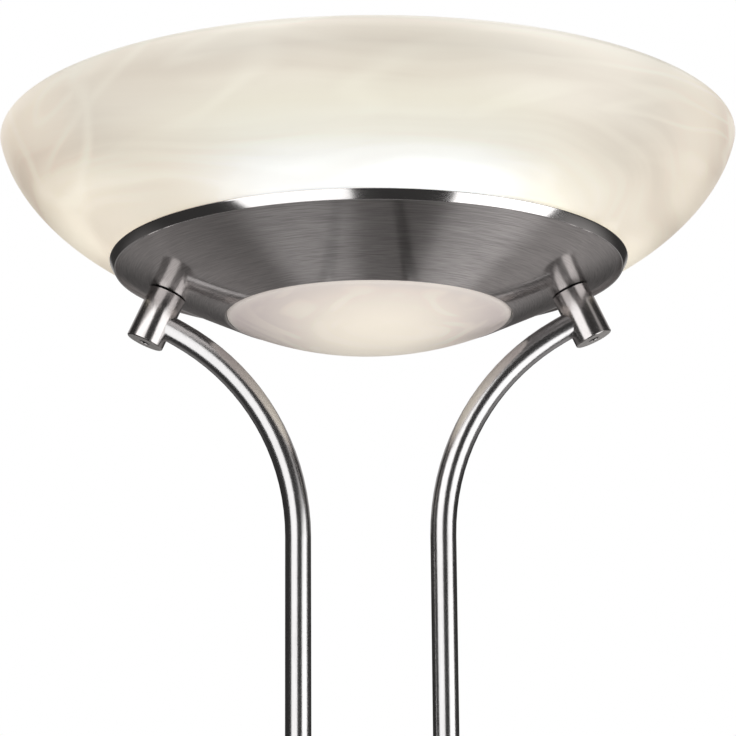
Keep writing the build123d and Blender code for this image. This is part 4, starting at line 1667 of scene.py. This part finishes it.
@dataclass(frozen=True)
class DarkCloth(Finish):
    """Cloth that only reflections show: dark low down and pale higher up."""

    tint: Colour = (1.0, 0.97, 0.96, 1.0)
    dark: float = 0.038
    back: float = 0.29
    pale: float = 0.50
    fade: tuple[float, float] = (2.0, 2.45)
    sides: tuple[float, float] = (-0.2, 2.0)
    hem: tuple[float, float] = (0.6, 1.6)
    right: tuple[float, float] = (-0.2, 1.2)
    right_gain: float = 0.35
    front: tuple[float, float] = (-1.4, -0.6)
    gap_middle: float = 0.88
    gap: tuple[float, float] = (0.9, 1.3)
    behind: tuple[float, float] = (1.3, 2.0)
    behind_low: tuple[float, float] = (1.95, 2.25)

    def shade(self, graph: Graph) -> Value:
        """Dark in front, greyer behind and most on the right, and pale above and behind the lamp.

        Args:
            graph: The material's nodes.

        Returns:
            The shader.
        """
        x, y, z = graph.coordinates()
        low = 1 - graph.step(z, *self.hem)
        back = (self.back - self.dark) * (1 + graph.step(x, *self.right) * self.right_gain)
        level = self.dark + graph.step(y + x * 0.2, *self.sides) * low * back
        beside = graph.step(abs(x - self.gap_middle), *self.gap)
        high = graph.step(z, *self.fade) * (1 - graph.step(y, *self.front)) * beside
        behind = graph.step(y, *self.behind) * graph.step(z, *self.behind_low)
        level = graph.most(graph.most(level, high * self.pale), behind * self.pale)
        return graph.add("ShaderNodeEmission", {"Color": self.tint, "Strength": level})


@dataclass
class Studio:
    """Camera at the photograph's angle, lit panels, dark cloth, pale floor and background."""

    camera_at: tuple[float, float, float] = (-0.0008, -1.2793, 1.3788)
    camera_aim: tuple[float, float, float] = (-0.0008, 0.0, 1.6734)
    camera_roll: float = -0.0073
    focal: float = 117.4
    ambient: float = 0.12
    ambient_tint: Colour = (1.0, 0.985, 0.97, 1.0)
    floor_size: float = 14.0
    cloth_radius: float = 2.6
    cloth_height: float = 4.2
    cloth_hole: float = 0.26
    cloth_low: float = 0.001
    panels: tuple[Panel, ...] = (
        softbox("softbox_left", -34.0, width=1.42, high=2.45, level=1.60),
        softbox("softbox_right", 62.3, width=1.32, high=1.95, level=1.90, lean=10.0),
        Panel("softbox_overhead", 2.2, 2.2, level=0.9, at=(0, -0.3, 4.2)),
    )

    def build_camera(self) -> None:
        """Puts the camera below the bowl, a little off level."""
        data = bpy.data.cameras.new("camera")
        data.sensor_width, data.lens = 36.0, self.focal
        data.clip_start, data.clip_end = 0.01, 100.0
        camera = bpy.data.objects.new("camera", data)
        camera.rotation_mode = "QUATERNION"
        camera.location = self.camera_at
        level = (Vector(self.camera_aim) - Vector(self.camera_at)).to_track_quat("-Z", "Y")
        camera.rotation_quaternion = level @ Quaternion((0, 0, 1), self.camera_roll)
        bpy.context.scene.collection.objects.link(camera)
        bpy.context.scene.camera = camera

    def build_world(self) -> None:
        """White where the camera, gloss or glass looks, and soft even light elsewhere."""
        world = bpy.data.worlds.new("studio")
        world.use_nodes = True
        graph = Graph(world.node_tree)
        soft, white = (
            graph.add("ShaderNodeBackground", {"Color": colour, "Strength": strength})
            for colour, strength in ((self.ambient_tint, self.ambient), (grey(1.0), 1.0))
        )
        both = graph.blend(soft, white, graph.seen_by("Camera", "Glossy", "Transmission"))
        graph.add("ShaderNodeOutputWorld", {"Surface": both})
        bpy.context.scene.world = world

    def build_floor(self) -> None:
        """Adds the pale floor."""
        work = Workpiece()
        bmesh.ops.create_grid(work.mesh, x_segments=1, y_segments=1, size=self.floor_size / 2)
        work.make("floor", [PaleFloor("pale_floor")])

    def build_cloth(self) -> None:
        """Adds the dark cloth round the lamp, for reflections only."""
        low, radius = self.cloth_low, self.cloth_radius
        corners = [(self.cloth_hole, low), (radius, low), (radius, self.cloth_height)]
        work = Workpiece()
        work.turn(corners, around=64, closed=False)
        cloth = work.make("dark_cloth", [DarkCloth("dark_cloth")])
        cloth.visible_camera = cloth.visible_diffuse = cloth.visible_transmission = False
        cloth.visible_shadow = cloth.visible_volume_scatter = False

    def build(self) -> None:
        """Sets up everything that isn't the lamp."""
        self.build_camera()
        self.build_world()
        self.build_floor()
        self.build_cloth()
        for panel in self.panels:
            panel.build()
        bpy.context.scene.view_settings.view_transform = "Standard"


# ---------------------------------------------------------------- put together
def main() -> None:
    """Loads the frame, builds and dresses the lamp, and sets up the studio."""
    logging.basicConfig(level=logging.INFO, format="%(name)s: %(message)s")
    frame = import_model()
    nodes = frame["nodes"]

    for assembly in (GlassBowl(), ReadingLight(), Pan(), Posts(), HeadFittings(), Stem(), Base()):
        assembly.build()
        assembly.dress(nodes)

    Studio().build()


if __name__ == "__main__":
    main()
